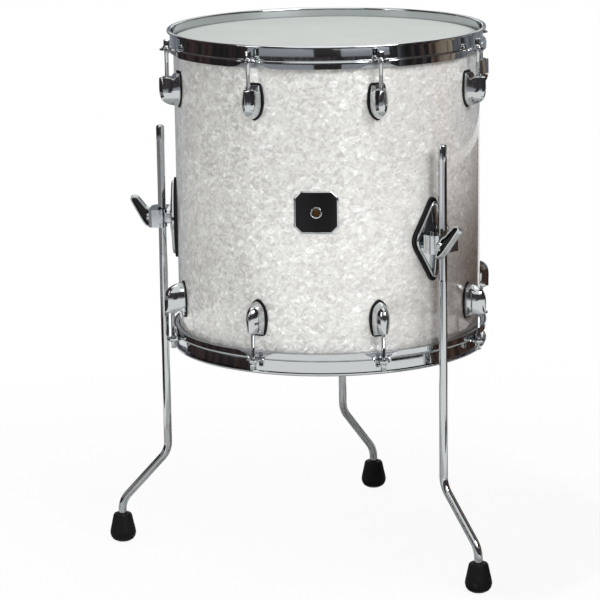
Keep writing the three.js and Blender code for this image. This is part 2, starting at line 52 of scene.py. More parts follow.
shellLow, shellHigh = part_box("shell")
drumCentre = (shellLow + shellHigh) / 2
gasketLow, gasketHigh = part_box("left_bracket_gasket")
bracketLift = ((gasketLow + gasketHigh) / 2 - drumCentre).z / mm
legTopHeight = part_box("left_leg")[1].z / mm

drum = {
    "shellOuter": 203, "shellInner": 197, "halfLength": 201, "crest": 200.8, "wrapOuter": 203.9,
    "seat": 204.2, "rodCircle": 220.4, "legCircle": 225.9, "steps": 192,
    "ventHole": 5.5, "ventSpan": (190, 210),  # radius of the hole, and how far out its cut reaches
}
lugTurns = [-157.5, -112.5, -67.5, -22.5, 22.5, 67.5, 112.5, 157.5]
sideTurns = {"left": -90, "right": 45, "back": 180}


def pick(look, names):  # several values of one dictionary
    return [look[name] for name in names.split()]


# Placing: turn is in degrees round the drum from the front, flip is for the lower side

def drumPlace(turn=0, flip=False, lift=0):
    upset = Matrix.Rotation(math.pi, 4, "Y") if flip else Matrix.Identity(4)
    middle = Matrix.Translation(drumCentre + Vector((0, 0, lift * mm)))
    return middle @ Matrix.Rotation(math.radians(turn), 4, "Z") @ upset


def uprightAt(across, out):
    return lambda x, y, h: (across + x, y - out, h)


def outwardAt(across, up):
    return lambda x, y, h: (across + x, -h, up - y)


def fromAbove(across, out, up):
    return (across, -out, up)


def fromFront(across, up, out):
    return (across, -out, up)


def fromSide(up, out, across):
    return (across, -out, up)


# Lines and outlines

def mix(low, high, share):
    return low + (high - low) * share


def smoothStep(share):
    return share * share * (3 - 2 * share)


def smoothValue(pairs, at):  # value on a smooth line through (position, value) pairs
    if at <= pairs[0][0]:
        return pairs[0][1]
    for i in range(len(pairs) - 1):
        (x0, y0), (x1, y1) = pairs[i], pairs[i + 1]
        if at <= x1:
            before, after = pairs[max(i - 1, 0)], pairs[min(i + 2, len(pairs) - 1)]
            leaving = (y1 - before[1]) / (x1 - before[0])
            arriving = (after[1] - y0) / (after[0] - x0)
            t = (at - x0) / (x1 - x0)
            bend = (x1 - x0) * t * (1 - t) * (leaving * (1 - t) - arriving * t)
            return mix(y0, y1, smoothStep(t)) + bend
    return pairs[-1][1]


def roundCorners(points, radii, steps=4, closed=True):  # each corner becomes a short arc
    made = []
    for i, corner in enumerate(points):
        radius = radii[i] if isinstance(radii, (list, tuple)) else radii
        if radius == 0 or (not closed and i in (0, len(points) - 1)):
            made.append(tuple(corner))
            continue
        here = Vector(corner)
        toBefore = Vector(points[i - 1]) - here
        toAfter = Vector(points[(i + 1) % len(points)]) - here
        reach = radius / math.tan(toBefore.angle(toAfter) / 2)
        reach = min(reach, toBefore.length * 0.48, toAfter.length * 0.48)
        start = here + toBefore.normalized() * reach
        end = here + toAfter.normalized() * reach
        for k in range(steps + 1):
            t = k / steps
            point = start * (1 - t) ** 2 + here * 2 * t * (1 - t) + end * t * t
            made.append(tuple(point))
    return made


def insetOutline(points, distance):  # an anticlockwise outline drawn in by one distance
    made = []
    for i, point in enumerate(points):
        here = Vector(point)
        first = (here - Vector(points[i - 1])).normalized()
        second = (Vector(points[(i + 1) % len(points)]) - here).normalized()
        inward = Vector((-first.y - second.y, first.x + second.x)).normalized()
        stretch = distance / max(inward.dot(Vector((-first.y, first.x))), 0.5)
        made.append(tuple(here + inward * stretch))
    return made


def box2d(left, right, low, high):
    return [(left, low), (right, low), (right, high), (left, high)]


def curveOut(radius, across):  # how far out a drum of this radius is, at this place across its front
    return math.sqrt(radius * radius - across * across)


# Solids, each a list of points and a list of faces

def columnFaces(columns, count, closed=True):  # between neighbouring columns of points, all the way round
    faces = []
    for s in range(columns):
        n = (s + 1) % columns
        for i in range(count if closed else count - 1):
            j = (i + 1) % count
            faces.append((s * count + i, n * count + i, n * count + j, s * count + j))
    return faces


def ringFaces(count, first, second):  # between two rings of points that start at these numbers
    around = [(i, (i + 1) % count) for i in range(count)]
    return [(first + i, first + j, second + j, second + i) for i, j in around]


def revolve(profile, steps, place=None):
    verts = []
    for s in range(steps):
        angle = 2 * math.pi * s / steps
        for radius, height in profile:
            point = (radius * math.sin(angle), -radius * math.cos(angle), height)
            verts.append(place(*point) if place else point)
    return verts, columnFaces(steps, len(profile))


def turned(points, radii, arcSteps, steps, place=None):  # a revolved outline with rounded corners
    return revolve(roundCorners(points, radii, arcSteps), steps, place)


def disc(radius, low, high, rounding=0, steps=32, place=None, roundLow=0):
    outline = [(0, low), (radius, low), (radius, high), (0, high)]
    return turned(outline, [0, roundLow, rounding, 0], 3, steps, place)


def loft(rings):
    count, last = len(rings[0]), (len(rings) - 1) * len(rings[0])
    faces = [tuple(reversed(range(count)))]
    for start in range(0, last, count):
        faces += ringFaces(count, start, start + count)
    faces.append(tuple(range(last, last + count)))
    return [point for ring in rings for point in ring], faces


def prism(outline, low, high, place):
    return loft([[place(u, v, w) for u, v in outline] for w in (low, high)])


def slab(rows, columns, back, front):  # rows of (height, half width), laid between two radii of the drum
    rings = []
    for height, half in rows:
        across = [half * (2 * k / columns - 1) for k in range(columns + 1)]
        ring = [(x, -curveOut(back, x), height) for x in across]
        rings.append(ring + [(x, -curveOut(front, x), height) for x in reversed(across)])
    return loft(rings)


# Meshes and pieces

def addObject(name, content):
    made = bpy.data.objects.new(name, content)
    bpy.context.scene.collection.objects.link(made)
    return made


def makeMesh(name, parts, finishes):  # a part is (points, faces) or (points, faces, finish number)
    build = bmesh.new()
    for points, faces, *finish in parts:
        made = [build.verts.new(Vector(point) * mm) for point in points]
        for face in faces:
            build.faces.new([made[i] for i in face]).material_index = finish[0] if finish else 0
        bmesh.ops.remove_doubles(build, verts=made, dist=0.002 * mm)
    bmesh.ops.recalc_face_normals(build, faces=build.faces)
    mesh = bpy.data.meshes.new(name)
    build.to_mesh(mesh)
    build.free()
    for finish in finishes:
        mesh.materials.append(finish)
    return mesh


def joined(mesh, *others):  # all in the first mesh, with its finishes
    build = bmesh.new()
    for part in (mesh, *others):
        build.from_mesh(part)
    build.to_mesh(mesh)
    build.free()
    return mesh


def modified(mesh, kind, settings):  # the mesh after this modifier
    holder = addObject("work", mesh)
    modifier = holder.modifiers.new(kind.lower(), kind)
    for setting, value in settings.items():
        setattr(modifier, setting, value)
    bpy.context.view_layer.update()
    ready = holder.evaluated_get(bpy.context.evaluated_depsgraph_get())
    result = bpy.data.meshes.new_from_object(ready)
    bpy.data.objects.remove(holder)
    return result


def carve(mesh, parts, operation="DIFFERENCE", finish=0):  # cuts or joins the parts, one at a time
    for points, faces in parts:
        tool = addObject("tool", makeMesh("tool", [(points, faces, finish)], mesh.materials))
        mesh = modified(mesh, "BOOLEAN", {"object": tool, "operation": operation, "solver": "EXACT"})
        bpy.data.objects.remove(tool)
    return mesh


def addPiece(name, mesh, body, slot, place, replaces=(), bevel=0, bevelAngle=50, sharp=35):
    piece = addObject(name, mesh)
    piece.matrix_world = place
    mesh.shade_smooth()
    if bevel:
        edge = piece.modifiers.new("edge", "BEVEL")
        edge.width, edge.segments = bevel * mm, 2
        edge.limit_method, edge.angle_limit = "ANGLE", math.radians(bevelAngle)
        piece.modifiers.new("even", "WEIGHTED_NORMAL")
    else:
        mesh.set_sharp_from_angle(angle=math.radians(sharp))
    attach(piece, body)
    if replaces:
        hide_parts(*replaces)


# Finishes

def hexColour(code):  # sRGB hex to the linear colour that the shaders use
    parts = [int(code[i:i + 2], 16) / 255 for i in (1, 3, 5)]
    return (*[c / 12.92 if c <= 0.04045 else ((c + 0.055) / 1.055) ** 2.4 for c in parts], 1)


def setSocket(socket, value):
    socket.default_value = hexColour(value) if isinstance(value, str) else value


def linkTo(owner, node, links):  # a source is a socket, or a node whose first output is meant
    for name, source in links.items():
        source = source.outputs[0] if isinstance(source, bpy.types.Node) else source
        owner.node_tree.links.new(source, node.inputs[name])
    return owner


def addNode(owner, kind, settings=None, links=None):  # settings: attributes, then sockets; a ramp takes stops
    node = owner.node_tree.nodes.new("ShaderNode" + kind)
    for name, value in (settings or {}).items():
        if name == "stops":
            ramp = node.color_ramp.elements
            ramp[0].position, ramp[0].color = value[0][0], hexColour(value[0][1])
            ramp[1].position, ramp[1].color = value[-1][0], hexColour(value[-1][1])
            for position, code in value[1:-1]:
                ramp.new(position).color = hexColour(code)
        elif isinstance(name, str) and hasattr(node, name):
            setattr(node, name, value)
        else:
            setSocket(node.inputs[name], value)
    linkTo(owner, node, links or {})
    return node


def startMaterial(name, settings):  # the material, its shader, its node adder and the piece's own coordinates
    material = bpy.data.materials.new(name)
    material.use_nodes = True
    shader, add = material.node_tree.nodes["Principled BSDF"], partial(addNode, material)
    for socket, value in settings.items():
        setSocket(shader.inputs[socket], value)
    return material, shader, add, add("TexCoord").outputs["Object"]


def relief(add, where, grain, detail, strength, depth):  # unevenness: grain size and depth in millimetres
    noise = add("TexNoise", {"Scale": 1 / (grain * mm), "Detail": detail}, {"Vector": where})
    return add("Bump", {"Strength": strength, "Distance": depth * mm}, {"Height": noise})


def platedChrome(name, roughness, waviness, waveSize):
    # polished nickel-chrome plate: a hard mirror, cooler than steel, faintly uneven from the metal under it
    material, shader, add, where = startMaterial(name, {
        "Base Color": "#C6CACB", "Metallic": 1, "Roughness": roughness,
    })
    haze = add("TexNoise", {"Scale": 1 / (25 * mm), "Detail": 3}, {"Vector": where})
    rough = add("MapRange", {1: 0.35, 2: 0.75, 3: roughness * 0.7, 4: roughness * 1.6}, {0: haze})
    waves = relief(add, where, waveSize, 1, waviness, 0.05)
    return linkTo(material, shader, {"Roughness": rough, "Normal": waves})


hoopChrome = platedChrome("chromePlatedPressedSteel", 0.06, 0.25, 18)
castChrome = platedChrome("chromePlatedDieCastZinc", 0.08, 0.35, 7)
rodChrome = platedChrome("chromePlatedDrawnSteel", 0.07, 0.2, 10)


wrapLook = {
    "end": 189, "inner": 203.3, "seamTurn": -135, "seamWidth": 22, "seamThickness": 0.45,
    "flake": 3, "stretch": 1.9, "swirl": 9, "warp": 3.2, "fine": 2.2, "tilt": 0.27,
    "layers": [(52, 1), (-35, 0.8), (8, 1.3)],  # turn of the flakes and share of their size
}


def marinePearl():
    # pressed celluloid sheet with pearl essence: torn silky flakes 2 to 7 mm long under a clear polished
    #     # face; each flake lies at its own slant, so that it lights up or greys as a whole. The flakes' grey
    #     mottling
    #     # is their own colour, and the brightest are painted up to pure white as painted glints
    material, shader, add, where = startMaterial("marinePearlCelluloid", {
        "Metallic": 0.14, "Roughness": 0.3, "IOR": 1.5,
        "Coat Weight": 1, "Coat Roughness": 0.05, "Coat IOR": 1.5,
    })
    look, centre, flat = wrapLook, {"operation": "SUBTRACT", 1: (0.5, 0.5, 0.5)}, {"noise_dimensions": "2D"}
    turnedBack = add("Mapping", {"Rotation": (0, 0, math.radians(-90 - look["seamTurn"]))}, {"Vector": where})
    parts = add("SeparateXYZ", {}, {0: turnedBack}).outputs
    angle = add("Math", {"operation": "ARCTAN2"}, {0: parts[1], 1: parts[0]})
    around = add("Math", {"operation": "MULTIPLY", 1: drum["wrapOuter"] * mm}, {0: angle})
    sheet = add("CombineXYZ", {}, {0: around, 1: parts[2]})
    swirl = add("TexNoise", {**flat, "Scale": 1 / (look["swirl"] * mm), "Detail": 2}, {"Vector": sheet})
    centred = add("VectorMath", centre, {0: swirl.outputs["Color"]})
    pushed = add("VectorMath", {"operation": "SCALE", "Scale": look["warp"] * mm * 2}, {0: centred})
    warped = add("VectorMath", {"operation": "ADD"}, {0: sheet, 1: pushed})
    flakes = []
    for turn, size in look["layers"]:
        grain = look["flake"] * size * mm
        laid = add("Mapping", {"vector_type": "TEXTURE", "Rotation": (0, 0, math.radians(turn)),
                               "Scale": (grain * look["stretch"], grain, 1)}, {"Vector": warped})
        cells = add("TexVoronoi", {"voronoi_dimensions": "2D", "Scale": 1}, {"Vector": laid})
        flakes.append(cells.outputs["Color"])
    shades = [add("SeparateColor", {}, {0: flake}) for flake in flakes]
    first = add("Mix", {"data_type": "FLOAT", 0: 0.5}, {2: shades[0], 3: shades[1]})
    both = add("Mix", {"data_type": "FLOAT", 0: 0.34}, {2: first, 3: shades[2]})
    fine = add("TexNoise", {**flat, "Scale": 1 / (look["fine"] * mm), "Detail": 3}, {"Vector": warped})
    mottledWithPaintedGlints = add("Mix", {"data_type": "FLOAT", 0: 0.2}, {2: both, 3: fine})
    # the ramp's top stops, up to pure white, paint sparkles into the colour: painted glints where flakes
    # catch the light
    colour = add("ValToRGB", {"stops": [
        (0.26, "#CBC9C5"), (0.42, "#DAD9D6"), (0.58, "#E3E3E0"), (0.71, "#EDEDEB"), (0.79, "#FFFFFF"),
    ]}, {0: mottledWithPaintedGlints})
    slants = [add("VectorMath", centre, {0: flake}) for flake in flakes[:2]]
    slant = add("VectorMath", {"operation": "ADD"}, {0: slants[0], 1: slants[1]})
    lean = add("VectorMath", {"operation": "SCALE", "Scale": look["tilt"] / 2}, {0: slant})
    face = add("NewGeometry").outputs["Normal"]
    leaning = add("VectorMath", {"operation": "ADD"}, {0: face, 1: lean})
    normal = add("VectorMath", {"operation": "NORMALIZE"}, {0: leaning})
    return linkTo(material, shader, {"Base Color": colour, "Normal": normal})


pearlWrap = marinePearl()


def lacqueredPly():
    # rotary-cut maple veneer under clear lacquer: long soft grain round the shell, 4 mm from line to line
    material, shader, add, where = startMaterial("lacqueredMaplePly", {"Roughness": 0.42, "IOR": 1.5})
    parts = add("SeparateXYZ", {}, {0: where}).outputs
    angle = add("Math", {"operation": "ARCTAN2"}, {0: parts[0], 1: parts[1]})
    along = add("Math", {"operation": "MULTIPLY", 1: 0.2 / (60 * mm)}, {0: angle})
    up = add("Math", {"operation": "MULTIPLY", 1: 1 / (4 * mm)}, {0: parts[2]})
    flat = add("CombineXYZ", {}, {0: along, 1: up})
    grain = add("TexNoise", {"Scale": 1, "Detail": 6, "Roughness": 0.62}, {"Vector": flat})
    colour = add("ValToRGB", {"stops": [(0.3, "#A9794B"), (0.5, "#C1925F"), (0.72, "#D5AC78")]}, {0: grain})
    return linkTo(material, shader, {"Base Color": colour})


shellWood = lacqueredPly()


def coatedFilm():
    # polyester film sprayed with a white vinyl coat: dry, slightly gritty, milky enough to pass some light
    material, shader, add, where = startMaterial("coatedPolyesterFilm", {"Roughness": 0.62, "IOR": 1.5})
    cloud = add("TexNoise", {"Scale": 1 / (60 * mm), "Detail": 4}, {"Vector": where})
    colour = add("ValToRGB", {"stops": [(0.35, "#D3D8D5"), (0.65, "#D9DEDB")]}, {0: cloud})
    # the spray grit is near 0.4 mm on a real head; drawn at 1.2 mm so that it shows
    linkTo(material, shader, {"Base Color": colour, "Normal": relief(add, where, 1.2, 2, 0.35, 0.12)})
    milky = add("BsdfTranslucent", {"Color": "#EDEFEC"})
    blend = add("MixShader", {0: 0.2}, {1: shader, 2: milky})
    return linkTo(material, material.node_tree.nodes["Material Output"], {0: blend})


batterFilm = coatedFilm()


def clearFilm():
    # bare polyester film: glassy, thin enough to see the shell through, with a faint drawn ripple
    material, shader, add, where = startMaterial("clearPolyesterFilm", {
        "Base Color": "#E4EAEA", "Roughness": 0.08, "IOR": 1.6, "Alpha": 0.34,
    })
    return linkTo(material, shader, {"Normal": relief(add, where, 45, 1, 0.2, 0.2)})


resonantFilm = clearFilm()


def rolledAluminium():
    # roll-formed aluminium channel: soft grey metal with lines from the rollers round it, 0.8 mm apart
    material, shader, add, where = startMaterial("rolledAluminium", {
        "Base Color": "#B9BCBF", "Metallic": 1, "Roughness": 0.34,
    })
    lines = add("Mapping", {"Scale": (20, 20, 1 / (0.8 * mm))}, {"Vector": where})
    grain = add("TexNoise", {"Scale": 1, "Detail": 2}, {"Vector": lines})
    return linkTo(material, shader, {"Roughness": add("MapRange", {3: 0.24, 4: 0.46}, {0: grain})})


fleshAluminium = rolledAluminium()


def mouldedRubber(name, colour, roughness, grainSize, bumpDepth):
    # carbon-black rubber from a mould: deep charcoal, dull, with fine pitting and paler scuffs
    material, shader, add, where = startMaterial(name, {
        "Roughness": roughness, "IOR": 1.52, "Specular IOR Level": 0.25,
    })
    scuff = add("TexNoise", {"Scale": 1 / (9 * mm), "Detail": 5}, {"Vector": where})
    shade = add("ValToRGB", {"stops": [(0.35, colour), (0.62, colour), (0.8, "#1D1C20")]}, {0: scuff})
    pits = relief(add, where, grainSize, 3, 0.4, bumpDepth)
    return linkTo(material, shader, {"Base Color": shade, "Normal": pits})


gasketRubber = mouldedRubber("mouldedBlackGasket", "#0F0E11", 0.5, 1.1, 0.05)
footRubber = mouldedRubber("mouldedBlackFootRubber", "#0B080C", 0.62, 0.9, 0.1)


def blackEnamel(name, roughness):
    # stoved black enamel over metal: inky with a wet gloss and a trace of orange peel. On the badge it is the
    # plate's own black; in the wing screws' recesses the black is painted shade and dark reflection
    material, shader, add, where = startMaterial(name, {
        "Base Color": "#08070A", "Roughness": roughness, "IOR": 1.5, "Specular IOR Level": 0.35,
    })
    return linkTo(material, shader, {"Normal": relief(add, where, 2.5, 1, 0.15, 0.04)})


badgeEnamel = blackEnamel("blackEnamelBadge", 0.22)
# the black on the wing screws' recesses is painted shade and dark reflection
recessPaintedShade = blackEnamel("blackRecessPaintedShade", 0.4)

print("finishes made")


# Shell: bevelled bearing edges and the vent hole

ventCut = disc(drum["ventHole"], *drum["ventSpan"], place=outwardAt(0, 0))


def makeShell():
    top, inner, outer, crest = pick(drum, "halfLength shellInner shellOuter crest")
    half = [(inner, top - crest + inner), (crest, top), (outer, top - outer + crest)]
    lower = [(radius, -height) for radius, height in reversed(half)]
    plies = turned(half + lower, [1.5, 0.7, 1.2, 1.2, 0.7, 1.5], 3, drum["steps"])
    return carve(makeMesh("shellPlies", [plies], [shellWood]), [ventCut])


addPiece("shellPlies", makeShell(), "drum", "shell_wood", drumPlace(), ["shell"])


def makeWrap():
    inner, outer, end = wrapLook["inner"], drum["wrapOuter"], wrapLook["end"]
    sheet = turned(box2d(inner, outer, -end, end), 0.25, 2, drum["steps"])
    mesh = carve(makeMesh("pearlWrap", [sheet], [pearlWrap]), [ventCut])
    start = math.radians(wrapLook["seamTurn"])  # the sheet laps over itself in one upright seam at the back
    sweep, base = wrapLook["seamWidth"] / outer, outer - 0.3
    rings = []
    for k in range(9):
        angle = start + sweep * k / 8
        lifted = outer + wrapLook["seamThickness"] if k else outer
        section = [(base, -end), (lifted, -end), (lifted, end), (base, end)]
        rings.append([(r * math.sin(angle), -r * math.cos(angle), h) for r, h in section])
    return joined(mesh, makeMesh("wrapSeam", [loft(rings)], [pearlWrap]))


addPiece("pearlWrap", makeWrap(), "drum", "pearl_wrap", drumPlace(), ["shell_wrap"], sharp=50)

# Heads and flesh hoops

headLook = {
    "top": [(0, 201.9), (120, 201.9), (199, 201.9), (201.2, 201.75), (202.9, 201.25), (203.9, 200.4),
            (204.45, 199), (204.6, 196.5), (204.6, 190.5)],
    "under": [(204.05, 190.5), (204.05, 196.5), (203.9, 198.8), (203.4, 199.9), (202.6, 200.65),
              (201.1, 201.2), (199, 201.35), (120, 201.35), (0, 201.35)],
}
fleshLook = {"inner": 204.9, "outer": 209.7, "low": 184.8, "high": 193.1, "groove": 1.6, "grooveDepth": 2.5}


def makeFleshHoop():
    inner, outer, low, high, groove, depth = pick(fleshLook, "inner outer low high groove grooveDepth")
    middle, half, floor = (inner + outer) / 2, groove / 2, high - depth
    outline = [(inner, low), (outer, low), (outer, high), (middle + half, high), (middle + half, floor),
               (middle - half, floor), (middle - half, high), (inner, high)]
    channel = turned(outline, [1.2, 1.2, 0.8, 0.3, 0.3, 0.3, 0.3, 0.5], 2, drum["steps"])
    return makeMesh("fleshHoop", [channel], [fleshAluminium])


headSolid, fleshMesh = revolve(headLook["top"] + headLook["under"], drum["steps"]), makeFleshHoop()
for side, film, slot, flip in (
    ("batter", batterFilm, "coated_film", False), ("resonant", resonantFilm, "clear_film", True),
):
    head = makeMesh(f"{side}Head", [headSolid], [film])
    addPiece(f"{side}Head", head, "drum", slot, drumPlace(0, flip), [f"{side}_head"], sharp=60)
    addPiece(f"{side}FleshHoop", fleshMesh, "drum", "flesh_hoop", drumPlace(0, flip), [f"{side}_flesh_hoop"])

# Counter hoop: one sheet folded into lip, wall, flange and skirt, with eight ears bent out of the skirt

hoopLook = {
    "sheet": 1.9, "wall": 207.3, "skirt": 211.7, "flange": 194.4, "lip": 212.95, "lipOut": 211.25,
    "lipTip": 210.7, "bottom": 184.9, "fold": 2.1, "earHalf": 8.5, "earEnd": 229.4,
    "notchEnd": 28, "notchRise": 1.3, "hole": 3.4, "holeSpan": (190, 198),
}


def hoopHalfStations():  # from an ear's tip to midway between ears: anchor, turn down, length, end point
    half, end, skirt, notchEnd, rise = pick(hoopLook, "earHalf earEnd skirt notchEnd notchRise")
    full = hoopLook["flange"] - hoopLook["fold"] - hoopLook["bottom"]
    stations = []
    for k in range(8):
        angle = math.pi / 2 * (1 - k / 7)
        tip = (half * math.cos(angle), end - half + half * math.sin(angle))
        stations.append((tip[0] * 0.96, 0, 0, tip))
    for share in (0.4, 0.75, 1):
        tip = (half + 1.6 * share * share, mix(end - half, skirt + 2.4, share))
        stations.append((mix(half * 0.96, half + 1, share), 0, 0, tip))
    for share in (0.2, 0.4, 0.6, 0.8, 1):
        stations.append((mix(half + 1, half + 4, share), share, mix(0.8, rise, share), None))
    for share in (k / 7 for k in range(1, 8)):
        length = mix(rise, full, mix(share, math.sin(share * math.pi / 2), 0.75))
        stations.append((mix(half + 4, notchEnd, share), 1, length, None))
    for share in (k / 7 for k in range(1, 8)):
        stations.append((mix(notchEnd, skirt * math.pi / 8, share), 1, full, None))
    return stations


def hoopSection():  # the fold down to the flange that the ears stand out from: (radius, height) in mid sheet
    out, tip, lip, wall, flange, skirt, fold = pick(hoopLook, "lipOut lipTip lip wall flange skirt fold")
    corners = [(out, tip), (out, lip), (wall, lip), (wall, flange), (skirt - fold, flange)]
    return roundCorners(corners, [0, 1.8, 1.7, 1.2, 0], 5, closed=False)


def hoopColumn(station, sign, turn):  # all the points of one column of the fold, top to free edge
    anchor, down, length, tip = station
    (skirt, fold, level), spin = pick(hoopLook, "skirt fold flange"), math.radians(turn)
    angle = spin + sign * anchor / skirt
    polar = lambda radius, height: (radius * math.sin(angle), -radius * math.cos(angle), height)
    points = [polar(radius, height) for radius, height in hoopSection()]
    start, bent, arc = skirt - fold, down * math.pi / 2, fold * math.pi / 2
    for k in range(1, 7):
        reach, fall = arc * k / 6, 0
        if bent:
            reach, fall = arc / bent * math.sin(bent * k / 6), arc / bent * (1 - math.cos(bent * k / 6))
        points.append(polar(start + reach, level - fall))
    last = Vector(points[-1])
    if tip:
        across, out = sign * tip[0], tip[1]
        goal = Vector((across * math.cos(spin) + out * math.sin(spin),
                       across * math.sin(spin) - out * math.cos(spin), level))
    else:
        goal = Vector(polar(start + reach + length * math.cos(bent), level - fall - length * math.sin(bent)))
    return points + [tuple(last.lerp(goal, k / 4)) for k in range(1, 5)]


def makeHoop():
    half, columns = hoopHalfStations(), []
    for turn in lugTurns:
        columns += [hoopColumn(station, -1, turn) for station in reversed(half[1:])]
        columns += [hoopColumn(station, 1, turn) for station in half[:-1]]
    faces = columnFaces(len(columns), len(columns[0]), False)
    sheet = makeMesh("hoop", [([point for column in columns for point in column], faces)], [hoopChrome])
    solid = modified(sheet, "SOLIDIFY", {
        "thickness": hoopLook["sheet"] * mm, "offset": 0, "use_even_offset": True,
    })
    spot = uprightAt(0, drum["rodCircle"])
    points, faces = disc(hoopLook["hole"], *hoopLook["holeSpan"], steps=24, place=spot)
    spins = [drumPlace(turn).to_3x3() for turn in lugTurns]
    return carve(solid, [([tuple(spin @ Vector(point)) for point in points], faces) for spin in spins])


hoopMesh = makeHoop()
addPiece("batterHoop", hoopMesh, "drum", "chrome_hoop", drumPlace(), ["batter_hoop"], sharp=42)
addPiece("resonantHoop", hoopMesh, "drum", "chrome_hoop", drumPlace(0, True), ["resonant_hoop"], sharp=42)
print("shell, wrap, heads and hoops made")

# Lugs: chrome bullet with a crease down its front, a collar round the rod, on a black gasket

lugLook = {
    "top": 162.9, "length": 44, "half": 11.25, "depth": 27, "gasket": 1.6, "margin": 2.3,
    "collar": 5.7, "collarFoot": 6.6, "collarTop": 4, "bore": 3.15, "boreDepth": 14,
    "width": [(0, 0.76), (0.08, 0.84), (0.25, 0.96), (0.48, 1), (0.62, 0.97), (0.72, 0.9),
              (0.82, 0.77), (0.9, 0.57), (0.96, 0.34), (0.99, 0.17), (1, 0.1)],
    "reach": [(0, 1), (0.3, 1.01), (0.55, 1), (0.7, 0.95), (0.8, 0.87), (0.88, 0.73),
              (0.94, 0.54), (0.98, 0.33), (1, 0.14)],
    "sharp": [(1, 0), (0.99, 0.16), (0.95, 0.34), (0.86, 0.52), (0.66, 0.7), (0.4, 0.845), (0.16, 0.95),
              (0, 1)],
    "round": [(1, 0), (0.995, 0.18), (0.96, 0.38), (0.86, 0.6), (0.66, 0.79), (0.42, 0.91), (0.18, 0.982),
              (0, 1)],
    "deck": [(0, 0), (3.6, 0), (5.2, -1.2), (8.2, -7.4), (9.4, -8), (11, -6.6), (12.6, -5.2), (30, -5.4)],
    "outline": [(0, 0.5), (0.02, 0.66), (0.06, 0.76), (0.15, 0.86), (0.25, 0.93), (0.48, 1), (0.62, 0.96),
                (0.71, 0.88), (0.8, 0.77), (0.89, 0.57), (0.95, 0.36), (0.985, 0.18), (1, 0.07)],
    "creaseEnd": 0.62, "deckEnd": 0.25, "lifts": [1, 0.7, 0.4, 0.15],
    "shares": [0.3, 0.36, 0.42, 0.48, 0.54, 0.6, 0.66, 0.71, 0.76, 0.8, 0.84, 0.875, 0.905, 0.93, 0.95, 0.967,
               0.98, 0.99, 1],
}


def lugPoint(share, index, side, height):  # one point of the body at this share of its length
    look = lugLook
    crease = smoothStep(min(1, share / look["creaseEnd"]))  # the crease softens towards the tail
    wide = mix(look["sharp"][index][0], look["round"][index][0], crease)
    deep = mix(look["sharp"][index][1], look["round"][index][1], crease)
    across = side * look["half"] * smoothValue(look["width"], share) * wide
    out = look["depth"] * smoothValue(look["reach"], share) * deep
    return (across, -(curveOut(drum["seat"], across) + out), height)


def lugRing(share, lift=0):  # lift raises the points towards the stepped deck on the flat end
    look = lugLook
    count = len(look["sharp"])
    ring = []
    for index, side in [(i, 1) for i in range(count)] + [(i, -1) for i in range(count - 2, -1, -1)]:
        out = look["depth"] * look["sharp"][index][1]
        level = mix(-share * look["length"], smoothValue(look["deck"], out), lift)
        ring.append(lugPoint(max(0, -level / look["length"]), index, side, look["top"] + level))
    return ring


def makeLugBody():
    look = lugLook
    rings = [lugRing(look["deckEnd"], lift) for lift in look["lifts"]]
    rings += [lugRing(share) for share in look["shares"]]
    count, middle = len(rings[0]), len(rings[0]) // 2
    verts, faces = loft(rings)
    faces = faces[1:]  # the flat end is closed by strips from side to side, so that it can dip
    faces += [(i, i + 1, count - 2 - i, count - 1 - i) for i in range(middle - 1)]
    faces.append((middle - 1, middle, middle + 1))
    top, bore, foot, width, low, high = pick(look, "top bore collarFoot collar boreDepth collarTop")
    low, high = top - low, top - high
    collar = turned([(bore, low), (foot + 0.6, low), (foot, top - 5.6), (width, high), (bore, high)],
                    [0, 0, 1.4, 0.7, 0.5], 3, 28, uprightAt(0, drum["rodCircle"]))
    return makeMesh("lugBody", [(verts, faces), collar], [castChrome])


def makeLugGasket():
    look = lugLook
    half, length = look["half"] + look["margin"], look["length"] + 2 * look["margin"]
    rows = [(look["top"] + look["margin"] - length * k / 36, half * smoothValue(look["outline"], k / 36))
            for k in range(37)]
    pad = slab(rows, 8, drum["wrapOuter"] + 0.05, drum["seat"] + look["gasket"])
    return makeMesh("lugGasket", [pad], [gasketRubber])


lugBody, lugGasket = makeLugBody(), makeLugGasket()

# Tension rods: square key head on a collar, loose washer, threaded shank

rodLook = {
    "radius": 2.8, "tip": 138.9, "point": 0.8, "threadTop": 176, "pitch": 1.06, "threadDepth": 0.3,
    "washer": 6.4, "washerHole": 3.2, "washerLow": 195.7, "washerTop": 197.1,
    "collar": 4.9, "collarTop": 199.5, "head": 6.4, "headTop": 207.5, "headRound": 0.7,
}


def makeRod():
    look, spot = rodLook, uprightAt(0, drum["rodCircle"])
    radius, tip, pitch, seat, top, headTop = pick(look, "radius tip pitch washerTop collarTop headTop")
    root, half, level = radius - look["threadDepth"], look["head"] / 2, tip + look["point"]
    profile = [(0, tip), (root - 0.6, tip), (root, level)]
    while level < look["threadTop"]:
        profile += [(radius, level + pitch * 0.5), (root, level + pitch)]
        level += pitch
    profile += [(radius - 0.05, level + 0.4), (radius - 0.05, seat - 0.2), (0, seat - 0.2)]
    wide = look["collar"]
    collar = [(0, seat - 0.1), (wide, seat - 0.1), (wide, seat + 1), (half + 0.3, top), (0, top)]
    washer = box2d(look["washerHole"], look["washer"], look["washerLow"], seat)
    outline = roundCorners(box2d(-half, half, -half, half), look["headRound"], 2)
    rings = []
    for inset, level in ((0, top - 0.8), (0, headTop - 1.3), (0.35, headTop - 0.5), (1.3, headTop)):
        scale = (half - inset) / half
        rings.append([(x * scale, y * scale - drum["rodCircle"], level) for x, y in outline])
    return makeMesh("tensionRod", [
        revolve(profile, 14, spot), turned(collar, [0, 0.3, 0.9, 0.6, 0], 3, 24, spot),
        turned(washer, 0.45, 2, 28, spot), loft(rings),
    ], [rodChrome])


